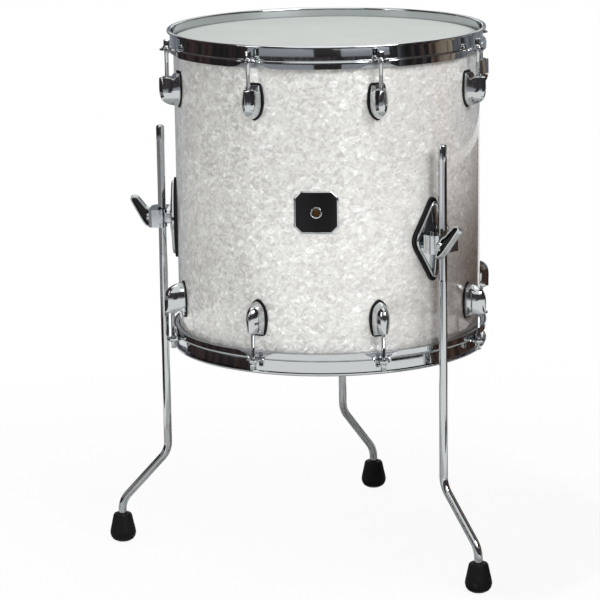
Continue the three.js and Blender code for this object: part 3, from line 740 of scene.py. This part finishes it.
rodMesh = makeRod()
for number, turn in enumerate(lugTurns, 1):
    for side, flip in (("top", False), ("bottom", True)):
        place = drumPlace(turn, flip)
        addPiece(f"{side}LugBody{number}", lugBody, "drum", "chrome_cast", place, [f"{side}_lug_{number}"],
                 bevel=0.45, bevelAngle=42)
        addPiece(f"{side}LugGasket{number}", lugGasket, "drum", "black_gasket", place, bevel=0.35)
        addPiece(f"{side}TensionRod{number}", rodMesh, f"{side}_rod_{number}", "chrome_rod", place,
                 [f"{side}_tension_rod_{number}"], sharp=38)
print("lugs and tension rods made")

# Leg brackets: diamond plate on a gasket, neck, clamp block with a hinged jaw

bracketLook = {
    "halfWidth": 35.6, "halfHeight": 61.2, "corner": 0.2, "border": 2.4, "rubber": 2, "lip": 4.5,
    "edge": [(1, 2.1), (1, 6.3), (0.992, 7.2), (0.972, 8), (0.945, 8.15), (0.922, 7.6), (0.9, 7.15),
             (0.875, 7.3)],
    "crown": 11, "crownShare": 0.26, "crownSteps": 5, "neck": 15,
}
clampLook = {
    "half": 12, "left": -30, "split": 0.2, "back": -7, "front": 17.3, "chamfer": 4, "farChamfer": 9,
    "hinge": 10.8, "knuckle": 4, "knuckleHalf": 6.5, "gap": 0.4, "pin": 1.8, "pinProud": 1,
    "saddle": 6.1, "screwAcross": -21.5, "screwUp": -3, "pocket": 4.4, "screwHole": 3.3,
    "smallScrew": (-4.6, -8.2), "smallScrewRadius": 2.3, "through": 20,
}


def diamondShare(inset):  # size of the diamond once each side has moved in by one distance
    width, height = pick(bracketLook, "halfWidth halfHeight")
    return 1 - inset * math.hypot(width, height) / (width * height)


def diamondRing(scale, corner):
    width, height = bracketLook["halfWidth"] * scale, bracketLook["halfHeight"] * scale
    points = [Vector(point) for point in ((width, 0), (0, height), (-width, 0), (0, -height))]
    made = []
    for i, here in enumerate(points):
        after = points[(i + 1) % 4]
        start, end = here.lerp(points[i - 1], corner), here.lerp(after, corner)
        for t in (k / 8 for k in range(9)):
            made.append(tuple(start * (1 - t) ** 2 + here * 2 * t * (1 - t) + end * t * t))
        made += [tuple(end.lerp(after.lerp(here, corner), k / 5)) for k in range(1, 5)]
    return made


def wrappedRing(scale, height, corner=bracketLook["corner"]):  # laid round the drum, this high off its seat
    return [(x, -curveOut(drum["seat"] + height, x), z) for x, z in diamondRing(scale, corner)]


def makePlateGasket():
    lip, rubber = pick(bracketLook, "lip rubber")
    inner = diamondShare(bracketLook["border"])
    levels = [(0.5, -0.2), (1, -0.2), (1, lip - 0.7), (0.994, lip - 0.2), (0.982, lip), (inner + 0.012, lip),
              (inner, lip - 0.5), (inner, rubber), (0.5, rubber)]
    return makeMesh("plateGasket", [loft([wrappedRing(*level) for level in levels])], [gasketRubber])


def makePlate():  # thick raised edge, a groove inside it, then four flat facets up to the neck
    look = bracketLook
    outer, steps = diamondShare(look["border"] + 0.25), look["crownSteps"]
    rings = [wrappedRing(0.4, look["rubber"] + 0.1)]
    rings += [wrappedRing(outer * share, height) for share, height in look["edge"]]
    top = [(x, -(drum["seat"] + look["crown"]), z) for x, z in diamondRing(outer * look["crownShare"], 0.1)]
    foot = wrappedRing(outer * 0.86, look["edge"][-1][1] + 0.15, 0.09)
    for k in range(steps + 1):
        rings.append([tuple(Vector(low).lerp(Vector(high), k / steps)) for low, high in zip(foot, top)])
    return loft(rings)


def clampPrism(points, radii, low, high):  # points are (across, away from the leg's middle)
    outline = roundCorners([(across, drum["legCircle"] + away) for across, away in points], radii, 4)
    return prism(outline, low, high, fromAbove)


def upDisc(radius, across, low, high, steps=40):
    return disc(radius, low, high, steps=steps, place=uprightAt(across, drum["legCircle"]))


saddleCut = upDisc(clampLook["saddle"], 0, -clampLook["through"], clampLook["through"], 48)


def makeBase():
    look, out = clampLook, drum["legCircle"]
    half, left, split, back, hinge, knuckle = pick(look, "half left split back hinge knuckle")
    inner, low = hinge - knuckle - look["gap"], look["knuckleHalf"] + look["gap"]
    block = clampPrism([(left + 2.5, back), (inner, back), (inner, -split), (left, -split), (left, back + 3)],
                       [4, 1.2, 0, 0.4, 4], -half, half)
    web = [(inner - 2, back), (hinge, back + 1.5), (hinge + 1, -split), (inner - 2, -split)]
    arms = []
    for bottom, top in ((low, half), (-half, -low)):
        arms += [clampPrism(web, [0, 2, 0, 0], bottom, top), upDisc(knuckle, hinge, bottom, top)]
    mesh = carve(makeMesh("clampBase", [block], [castChrome]), arms, "UNION")
    pocket = disc(look["pocket"], out - 12, out + 2, place=outwardAt(look["screwAcross"], look["screwUp"]))
    pinHole = upDisc(look["pin"] + 0.3, hinge, -look["through"], look["through"], 24)
    mesh = carve(mesh, [saddleCut, pocket, pinHole])
    wide = bracketLook["neck"] / 2
    neck = prism(roundCorners(box2d(-wide, wide, -wide, wide), 2.5, 4),
                 drum["seat"] + bracketLook["crown"] - 5, out + back + 0.4, fromFront)
    return joined(mesh, makeMesh("plate", [makePlate(), neck], [castChrome]))


def makeJaw():
    look, out = clampLook, drum["legCircle"]
    half, left, split, hinge, knuckle = pick(look, "half left split hinge knuckle")
    front, cut, far, tall, screw = pick(look, "front chamfer farChamfer knuckleHalf smallScrewRadius")
    right, face, (across, up) = hinge + knuckle, out + front, look["smallScrew"]
    body = clampPrism([
        (left, split), (right, split), (right, front - cut), (right - cut, front), (left + far, front),
        (left + far * 0.3, front - far * 0.3), (left, front - far),
    ], [0.4, 0, 2.5, 2.5, 9, 9, 9], -half, half)
    mesh = carve(makeMesh("clampJaw", [body], [castChrome]), [saddleCut])
    mesh = carve(mesh, [upDisc(knuckle, hinge, -tall, tall)], "UNION")
    cuts = [upDisc(knuckle + look["gap"], hinge, low, high) for low, high in ((tall, 14), (-14, -tall))]
    screwSpot, smallSpot = outwardAt(look["screwAcross"], look["screwUp"]), outwardAt(across, up)
    cuts += [disc(look["screwHole"], out - 1, out + 25, steps=28, place=screwSpot),
             disc(screw + 0.4, face - 1.4, face + 3, steps=28, place=smallSpot)]
    mesh = carve(mesh, cuts)
    proud = half + look["pinProud"]
    pin = disc(look["pin"], -proud, proud, 0.5, 24, uprightAt(hinge, out), roundLow=0.5)
    head = makeMesh("smallScrew", [disc(screw, face - 1.6, face - 0.2, 0.5, 28, smallSpot)], [castChrome])
    slot = prism(box2d(across - 2.6, across + 2.6, up - 0.35, up + 0.35), face - 0.9, face + 1, fromFront)
    return joined(mesh, carve(head, [slot]), makeMesh("pin", [pin], [castChrome]))


plateGasketMesh, baseMesh, jawMesh = makePlateGasket(), makeBase(), makeJaw()
print("brackets and jaws made")

# Wing screws: one swept arm with a recess on each face, painted black as painted shade and dark reflection,
# on a round hub

wingLook = {
    "start": 17.6, "tilts": {"left": 12, "right": 23, "back": -18}, "thickness": 8, "web": 2.6, "rim": 1.9,
    "hub": 6.6, "hubLength": 6.5, "shank": 3, "shankFrom": -3.5,
    "outline": [(10.6, 0.4), (14.3, 6.4), (22, 11.6), (29.9, 17.4), (30.6, 24.6), (27.2, 27.9), (22.5, 26.2),
                (17, 23.6), (9, 19.8), (0.9, 15.9), (-6, 12.6), (-12.2, 8.4), (-16.2, 0.4)],
}


def makeWing():
    look, spot = wingLook, outwardAt(0, 0)
    start, half, web = drum["legCircle"] + look["start"], look["thickness"] / 2, look["web"] / 2
    corners = [(up, start + out) for up, out in look["outline"]]
    inner = roundCorners(insetOutline(corners, look["rim"]), 3, 3)
    arm = prism(roundCorners(corners, 5, 3), -half, half, fromSide)
    recesses = [prism(inner, web, half + 2, fromSide), prism(inner, -half - 2, -web, fromSide)]
    # the recess faces take the second finish, black: painted shade and dark reflection
    mesh = carve(makeMesh("wing", [arm], [castChrome, recessPaintedShade]), recesses, finish=1)
    hub = disc(look["hub"], start, start + look["hubLength"], 1.2, 36, spot)
    shank = disc(look["shank"], drum["legCircle"] + look["shankFrom"], start + 1, 0, 20, spot, roundLow=0.5)
    return joined(mesh, makeMesh("hub", [hub, shank], [castChrome, recessPaintedShade]))


wingMesh = makeWing()

# Legs: bright rod with a six-sided grip at the top, two bends, then the foot

legLook = {
    "radius": 5.55, "bend": 130, "knee": 57, "reach": 66, "bendRadius": 33, "gripFrom": 20, "gripLength": 160,
    "gripCorner": 1.05, "gripFlat": 0.91, "turns": {"left": 0, "right": 0, "back": -38}, "end": 9,
    "tip": [(0, 0.5), (0.6, 0.76), (1.5, 0.93), (2.6, 1)],  # depth under the top, and share of the radius
}


def gripRadius(angle, grip):  # from a circle to a hexagon with softened corners
    sector = math.pi / 3
    offset = (angle + sector / 2) % sector - sector / 2
    flat = min(legLook["gripFlat"] / math.cos(sector / 2 - abs(offset)), legLook["gripCorner"])
    return legLook["radius"] * mix(1, flat, grip)


def legStations():  # (out, height, lean, size, grip)
    upper, lower, reach, radius, end = pick(legLook, "bend knee reach bendRadius end")
    top = legTopHeight - legLook["gripFrom"]
    low = top - legLook["gripLength"]
    grips = [(top, 0), (top - 1.5, 0.5), (top - 3, 1), (top - 80, 1)]
    grips += [(low + 3, 1), (low + 1.5, 0.5), (low, 0)]
    stations = [(0, legTopHeight - drop, 0, size, 0) for drop, size in legLook["tip"]]
    stations += [(0, height, 0, 1, grip) for height, grip in grips]
    lean = math.atan2(reach, upper - lower)
    setback = radius * math.tan(lean / 2)
    bend = [(angle, radius * (1 - math.cos(angle)), radius * math.sin(angle))
            for angle in (lean * k / 8 for k in range(9))]
    high, low = upper + setback, lower - setback
    stations += [(aside, high - drop, angle, 1, 0) for angle, aside, drop in bend]
    stations += [(reach - aside, low + drop, angle, 1, 0) for angle, aside, drop in reversed(bend)]
    return stations + [(reach, end, 0, 1, 0)]


def makeLeg():
    rings = []
    for out, height, lean, size, grip in legStations():
        ring = []
        for angle in (2 * math.pi * k / 36 for k in range(36)):
            radius = gripRadius(angle, grip) * size
            forward = radius * math.sin(angle)
            ring.append((radius * math.cos(angle), -(out + forward * math.cos(lean)),
                         height + forward * math.sin(lean)))
        rings.append(ring)
    return makeMesh("leg", [loft(rings)], [rodChrome])


footLook = {
    "profile": [(0, 0), (9.6, 0), (14.1, 2.6), (16.9, 6.6), (18, 11.8), (17.3, 16.6), (15.4, 25),
                (13.6, 33.6), (12.9, 36.8), (11.3, 39), (6.4, 39), (5.9, 38.5), (5.9, 8), (0, 8)],
    "rounding": [0, 1.5, 3, 3, 4, 3, 6, 4, 1.8, 1.2, 0.3, 0, 0, 0],
}
footSolid = turned(footLook["profile"], footLook["rounding"], 4, 48, uprightAt(0, legLook["reach"]))
legMesh, footMesh = makeLeg(), makeMesh("foot", [footSolid], [footRubber])


def legPlace(side):
    floorPoint = Matrix.Translation((drumCentre.x, drumCentre.y, 0))
    around = Matrix.Rotation(math.radians(sideTurns[side]), 4, "Z")
    toLeg = Matrix.Translation((0, -drum["legCircle"] * mm, 0))
    return floorPoint @ around @ toLeg @ Matrix.Rotation(math.radians(legLook["turns"][side]), 4, "Z")


screwSpot = Matrix.Translation((clampLook["screwAcross"] * mm, 0, clampLook["screwUp"] * mm))
for side, turn in sideTurns.items():
    place, foot = drumPlace(turn, lift=bracketLift), legPlace(side)
    wingSpot = place @ screwSpot @ Matrix.Rotation(math.radians(wingLook["tilts"][side]), 4, "Y")
    for name, mesh, body, slot, spot, node, edges in (
        ("PlateGasket", plateGasketMesh, "drum", "black_gasket", place, "bracket_gasket", {"sharp": 40}),
        ("BracketBase", baseMesh, "drum", "chrome_cast", place, "bracket_base", {"bevel": 0.5}),
        ("ClampJaw", jawMesh, f"{side}_jaw", "chrome_cast", place, "clamp_jaw", {"bevel": 0.5}),
        ("WingScrew", wingMesh, f"{side}_wing", "chrome_cast", wingSpot, "wing_screw", {"bevel": 0.5}),
        ("Leg", legMesh, f"{side}_leg_rod", "chrome_rod", foot, "leg", {"sharp": 60}),
        ("Foot", footMesh, f"{side}_leg_rod", "foot_rubber", foot, "foot", {"sharp": 50}),
    ):
        addPiece(side + name, mesh, body, slot, spot, [f"{side}_{node}"], **edges)
print("wing screws, legs and feet made")

# Badge: bare black plate with a bevelled frame, and the vent grommet through it

badgeLook = {
    "width": 57, "height": 55, "chamfer": 9, "face": 1.9, "faceThickness": 0.9,
    "frame": [(0, 0.05), (0, 0.5), (0.2, 0.7), (1.5, 1.2), (1.8, 1.2), (2, 0.95), (2, 0.2)],
}


def badgeSize(inset):  # half width, half height and corner cut, once each side has moved in
    look = badgeLook
    return look["width"] / 2 - inset, look["height"] / 2 - inset, look["chamfer"] - inset * (2 - math.sqrt(2))


def badgeOutline(inset):
    x, z, cut = badgeSize(inset)
    half = [(cut - x, -z), (x - cut, -z), (x, cut - z), (x, z - cut)]
    corners = half + [(-x, -z) for x, z in half]
    made = []
    for i, corner in enumerate(corners):
        after = Vector(corners[(i + 1) % 8])
        made += [tuple(Vector(corner).lerp(after, k / 8)) for k in range(8)]
    return made


def makeBadge():
    seat, look = drum["seat"], badgeLook
    count, bands = len(badgeOutline(0)), len(look["frame"])
    verts, faces = [], []
    for band, (inset, rise) in enumerate(look["frame"]):
        verts += [(x, -(curveOut(seat, x) + rise), z) for x, z in badgeOutline(inset)]
        faces += ringFaces(count, band * count, (band + 1) % bands * count)
    x, z, cut = badgeSize(look["face"])
    levels = [-z, -z + cut / 2, -z + cut, -z * 0.5, -1, 1, z * 0.5, z - cut, z - cut / 2, z]
    rows = [(level, x - max(0, abs(level) - (z - cut))) for level in levels]
    plate = slab(rows, 24, seat + 0.02, seat + look["faceThickness"])
    face = carve(makeMesh("badgeFace", [plate], [badgeEnamel, rodChrome]), [ventCut])
    return joined(face, makeMesh("badgeFrame", [(verts, faces, 1)], [badgeEnamel, rodChrome]))


addPiece("badgePlate", makeBadge(), "drum", "badge_black", drumPlace(), ["badge"], sharp=25)

ventLook = {"bore": 4.8, "barrel": 5.2, "flange": 7.8, "front": 205.7, "back": 196.4, "flare": 7.2}


def makeVent():
    bore, barrel, flange, front, back, flare = pick(ventLook, "bore barrel flange front back flare")
    outline = [(bore, back - 1), (flare, back - 0.9), (flare, back), (barrel, back), (barrel, front),
               (flange, front), (flange - 0.5, front + 0.9), (bore + 1, front + 1), (bore, front - 0.6)]
    tube = turned(outline, [0.4, 0.4, 0.2, 0.2, 0.2, 0.3, 0.6, 0.4, 0.8], 3, 48, outwardAt(0, 0))
    return makeMesh("ventGrommet", [tube], [rodChrome])


addPiece("ventGrommet", makeVent(), "drum", "chrome_trim", drumPlace(), ["vent_grommet"])

# Screws and washers inside the shell that hold the lugs and brackets

innerLook = {
    "washer": 6.5, "washerThickness": 1.2, "head": 4.2, "headHeight": 2.8, "slot": 0.9,
    "lugHeights": (150, -150, 131, -131), "bracketHeights": (-36, 0, 36),
}


def innerScrew():
    inner, spot = drum["shellInner"] - 0.15, outwardAt(0, 0)
    width, thick, radius, tall = pick(innerLook, "washer washerThickness head headHeight")
    low, top = inner - thick, inner - thick - tall
    washer = turned([(0, low), (width, low), (width, inner), (0, inner)], [0, 0.4, 0.1, 0], 2, 24, spot)
    head = turned([(0, low + 0.2), (radius, low + 0.2), (radius, low - 1.4), (radius * 0.6, top), (0, top)],
                  [0, 0, 1.2, 1.5, 0], 3, 24, spot)
    half, wide = radius * 0.62, innerLook["slot"] / 2
    slots = [prism(outline, top - 2, top + 1.3, fromFront)
             for outline in (box2d(-half, half, -wide, wide), box2d(-wide, wide, -half, half))]
    mesh = carve(makeMesh("screwHead", [head], [rodChrome]), slots)
    return joined(mesh, makeMesh("screwWasher", [washer], [rodChrome]))


def makeInnerScrews():
    screw = innerScrew()
    spots = [(turn, up) for turn in lugTurns for up in innerLook["lugHeights"]]
    spots += [(turn, bracketLift + up) for turn in sideTurns.values() for up in innerLook["bracketHeights"]]
    copies = []
    for turn, up in spots:
        copies.append(screw.copy())
        lifted = Matrix.Translation((0, 0, up * mm))
        copies[-1].transform(Matrix.Rotation(math.radians(turn), 4, "Z") @ lifted)
    mesh = joined(bpy.data.meshes.new("innerScrews"), *copies)
    mesh.materials.append(rodChrome)
    return mesh


addPiece("innerScrews", makeInnerScrews(), "drum", "chrome_rod", drumPlace(), sharp=40)
print("badge, vent and inner screws made")

# Studio: pale floor and white surround, and cards and mats that the camera doesn't see. They stand for a dim
# room with stained boards: "gloss" shows in reflections alone, "light" only shades, "both" does both.

darkWood, coldGrey = ("#0B0709", "#2A181A", "#45302E"), ("#A6A9B1", "#BCBFC7", "#D0D3DA")
deepShade = ("#0F0C10", "#1E181C", "#3A3438")
studioLook = {
    "floor": 14, "floorColour": "#F1F1EF", "surround": 0.61,
    "nearShade": (0.35, 1.1, 0.92, 1),  # floor within the first radius, and beyond the second: grey, white
    "cards": [  # name, from turn, to turn, radius, low, high (metres), what it is for, panel colours
        ("leftCard", -120, -46, 1.05, 0.43, 0.95, "gloss", darkWood),
        ("leftMiddle", -120, -46, 1.05, 0.2, 0.43, "gloss", ("#7E7A7C", "#9A989A", "#B4B4B6")),
        ("leftLow", -120, -46, 1.05, 0, 0.2, "gloss", darkWood),
        ("leftScreen", -176, -121, 1.3, 0, 0.95, "gloss", ("#6B6F78", "#858A93", "#A0A5AE")),
        ("roomWall", -88, 84, 7.6, 0, 3.2, "gloss", ("#1A1518", "#453C41", "#857F86")),
        ("spotCard", 46, 58, 1.05, 0.43, 0.95, "gloss", ("#0F0B0E", "#34343A", "#D5D8DE")),
        ("darkCard", 58, 75, 1.05, 0.43, 0.95, "gloss", ("#0B080B", "#1E171C", "#544648")),
        ("darkLow", 46, 75, 1.05, 0, 0.06, "gloss", ("#0B080B", "#171216", "#3A3032")),
        ("rightCard", 75, 97, 1.05, 0.43, 0.95, "both", ("#4A3A32", "#94806E", "#C0B2A0")),
        ("besideCard", 44, 128, 0.45, 0.02, 0.6, "light", ("#4A2C1E", "#6A4836", "#84604A")),
        ("rightLow", 75, 150, 1.05, 0, 0.43, "both", ("#2E1E18", "#4E352A", "#6C5042")),
        ("rightScreen", 95, 174, 1.3, 0.43, 0.95, "both", ("#6E737C", "#8A8F98", "#A6ABB4")),
        ("upperLeft", -150, -26, 3.4, 1.5, 6.5, "gloss", ("#2A1C1C", "#4A3C3E", "#6A6068")),
        ("upperRight", 30, 150, 3.4, 1.5, 6.5, "gloss", ("#2A1C1A", "#4E4038", "#6E645E")),
    ],
    "mats": [  # name, from turn, to turn, inner and outer radius (metres), panel colours
        ("underMat", -180, 180, 0, 0.85, ("#8A8484", "#C2C4C4", "#E4E6E6")),
        ("leftMat", -80, 0, 2.4, 7.5, coldGrey),
        ("rightMat", 0, 75, 3.3, 7.5, coldGrey),
        ("middleMat", -4, 15, 3.3, 7.5, deepShade),
        ("nearMat", -9.5, 9.5, 2.3, 3.3, deepShade),
    ],
    "matGap": 0.004,  # metres between one mat and the next, so that none lies in another
    "softboxes": [  # name, place, size (metres), watts
        ("frontSoftbox", (2.1, -2.25, 2.4), (1.7, 1.2), 71),
        ("leftFill", (-2.1, -1.7, 1.4), (0.9, 1.3), 11),
        ("topSoftbox", (0.1, 0.3, 3.2), (2, 2), 12),
    ],
    "aim": (0, 0, 0.42),  # the softboxes face the drum's middle
    "boards": (12, 12, 0.5), "boardStops": (0.36, 0.5, 0.66),  # bands per metre, and where each colour stands
}


def passedRays(owner):  # 1 for rays from the camera and those that gloss or clear film sends on
    rays = addNode(owner, "LightPath").outputs
    either = {"operation": "MAXIMUM"}
    seen = addNode(owner, "Math", either, {0: rays["Is Camera Ray"], 1: rays["Is Glossy Ray"]})
    return addNode(owner, "Math", either, {0: seen, 1: rays["Is Transmission Ray"]})


def floorMaterial():
    # paper sweep: matt and pale, and seen as white, a little greyer near the drum
    material, shader, add, where = startMaterial("paperSweep", {
        "Base Color": studioLook["floorColour"], "Roughness": 0.9,
    })
    away = add("VectorMath", {"operation": "LENGTH"}, {0: where}).outputs["Value"]
    fade = add("MapRange", dict(enumerate(studioLook["nearShade"], 1)), {0: away})
    share = add("Math", {"operation": "MULTIPLY"}, {0: passedRays(material), 1: fade})
    white = add("Emission", {"Color": "#FFFFFF", "Strength": 1})
    blend = add("MixShader", {}, {0: share, 1: shader, 2: white})
    return linkTo(material, material.node_tree.nodes["Material Output"], {0: blend})


def addStage(name, part, material):
    stage = addObject(name, makeMesh(name, [part], [material]))
    return stage


edge = studioLook["floor"] / mm
floorTurns = [2 * math.pi * k / 64 for k in range(64)]
floorPoints = [(edge * math.sin(angle), -edge * math.cos(angle), 0) for angle in floorTurns]
addStage("floor", (floorPoints, [tuple(range(64))]), floorMaterial())


def panelMaterial(name, colours):
    # stained boards and grey card, in tall soft bands: what the plated parts pick up at their sides
    material, shader, add, where = startMaterial(name, {"Roughness": 0.8})
    tall = add("Mapping", {"Scale": studioLook["boards"]}, {"Vector": where})
    bands = add("TexNoise", {"Scale": 1, "Detail": 2}, {"Vector": tall})
    colour = add("ValToRGB", {"stops": list(zip(studioLook["boardStops"], colours))}, {0: bands})
    return linkTo(material, shader, {"Base Color": colour})


def addCard(name, fromTurn, toTurn, rims, use, colours):  # rims: two (radius, height) pairs in metres
    points, faces = [], []
    for k in range(33):
        angle = math.radians(mix(fromTurn, toTurn, k / 32))
        for radius, level in rims:
            reach = radius / mm
            points.append((reach * math.sin(angle), -reach * math.cos(angle), level / mm))
        if k:
            faces.append((2 * k - 2, 2 * k, 2 * k + 1, 2 * k - 1))
    card = addStage(name, (points, faces), panelMaterial(name, colours))
    card.visible_camera = False
    card.visible_glossy = use != "light"
    card.visible_diffuse = card.visible_shadow = use != "gloss"


for name, fromTurn, toTurn, radius, low, high, use, colours in studioLook["cards"]:
    addCard(name, fromTurn, toTurn, ((radius, low), (radius, high)), use, colours)
for layer, (name, fromTurn, toTurn, inner, outer, colours) in enumerate(studioLook["mats"], 1):
    level = layer * studioLook["matGap"]
    addCard(name, fromTurn, toTurn, ((inner, level), (outer, level)), "gloss", colours)

for name, place, size, power in studioLook["softboxes"]:
    lamp = bpy.data.lights.new(name, "AREA")
    lamp.shape, lamp.energy = "RECTANGLE", power
    lamp.size, lamp.size_y = size
    softbox = addObject(name, lamp)
    softbox.location, softbox.rotation_mode = place, "QUATERNION"
    softbox.rotation_quaternion = (Vector(studioLook["aim"]) - Vector(place)).to_track_quat("-Z", "Y")


def setSurround():  # the world lights softly, and is seen as white
    world = bpy.data.worlds.new("whiteSurround")
    bpy.context.scene.world = world
    world.use_nodes = True
    background = world.node_tree.nodes["Background"]
    setSocket(background.inputs["Color"], "#FFFFFF")
    level = addNode(world, "MapRange", {3: studioLook["surround"], 4: 1}, {0: passedRays(world)})
    linkTo(world, background, {"Strength": level})


setSurround()

# Camera at the photograph's viewing angle

cameraLook = {"place": (0.33497, -3.83684, 1.19349), "towards": (-0.084987, 0.972335, -0.217582),
              "roll": -0.85, "lens": 172.6, "sensor": 36}
camera = addObject("camera", bpy.data.cameras.new("camera"))
camera.location, camera.rotation_mode = cameraLook["place"], "QUATERNION"
camera.data.lens, camera.data.sensor_width = cameraLook["lens"], cameraLook["sensor"]
rolled = Matrix.Rotation(math.radians(cameraLook["roll"]), 3, "Z").to_quaternion()
camera.rotation_quaternion = Vector(cameraLook["towards"]).to_track_quat("-Z", "Y") @ rolled
bpy.context.scene.camera = camera
bpy.context.scene.view_settings.view_transform = "Standard"
print("studio and camera made")
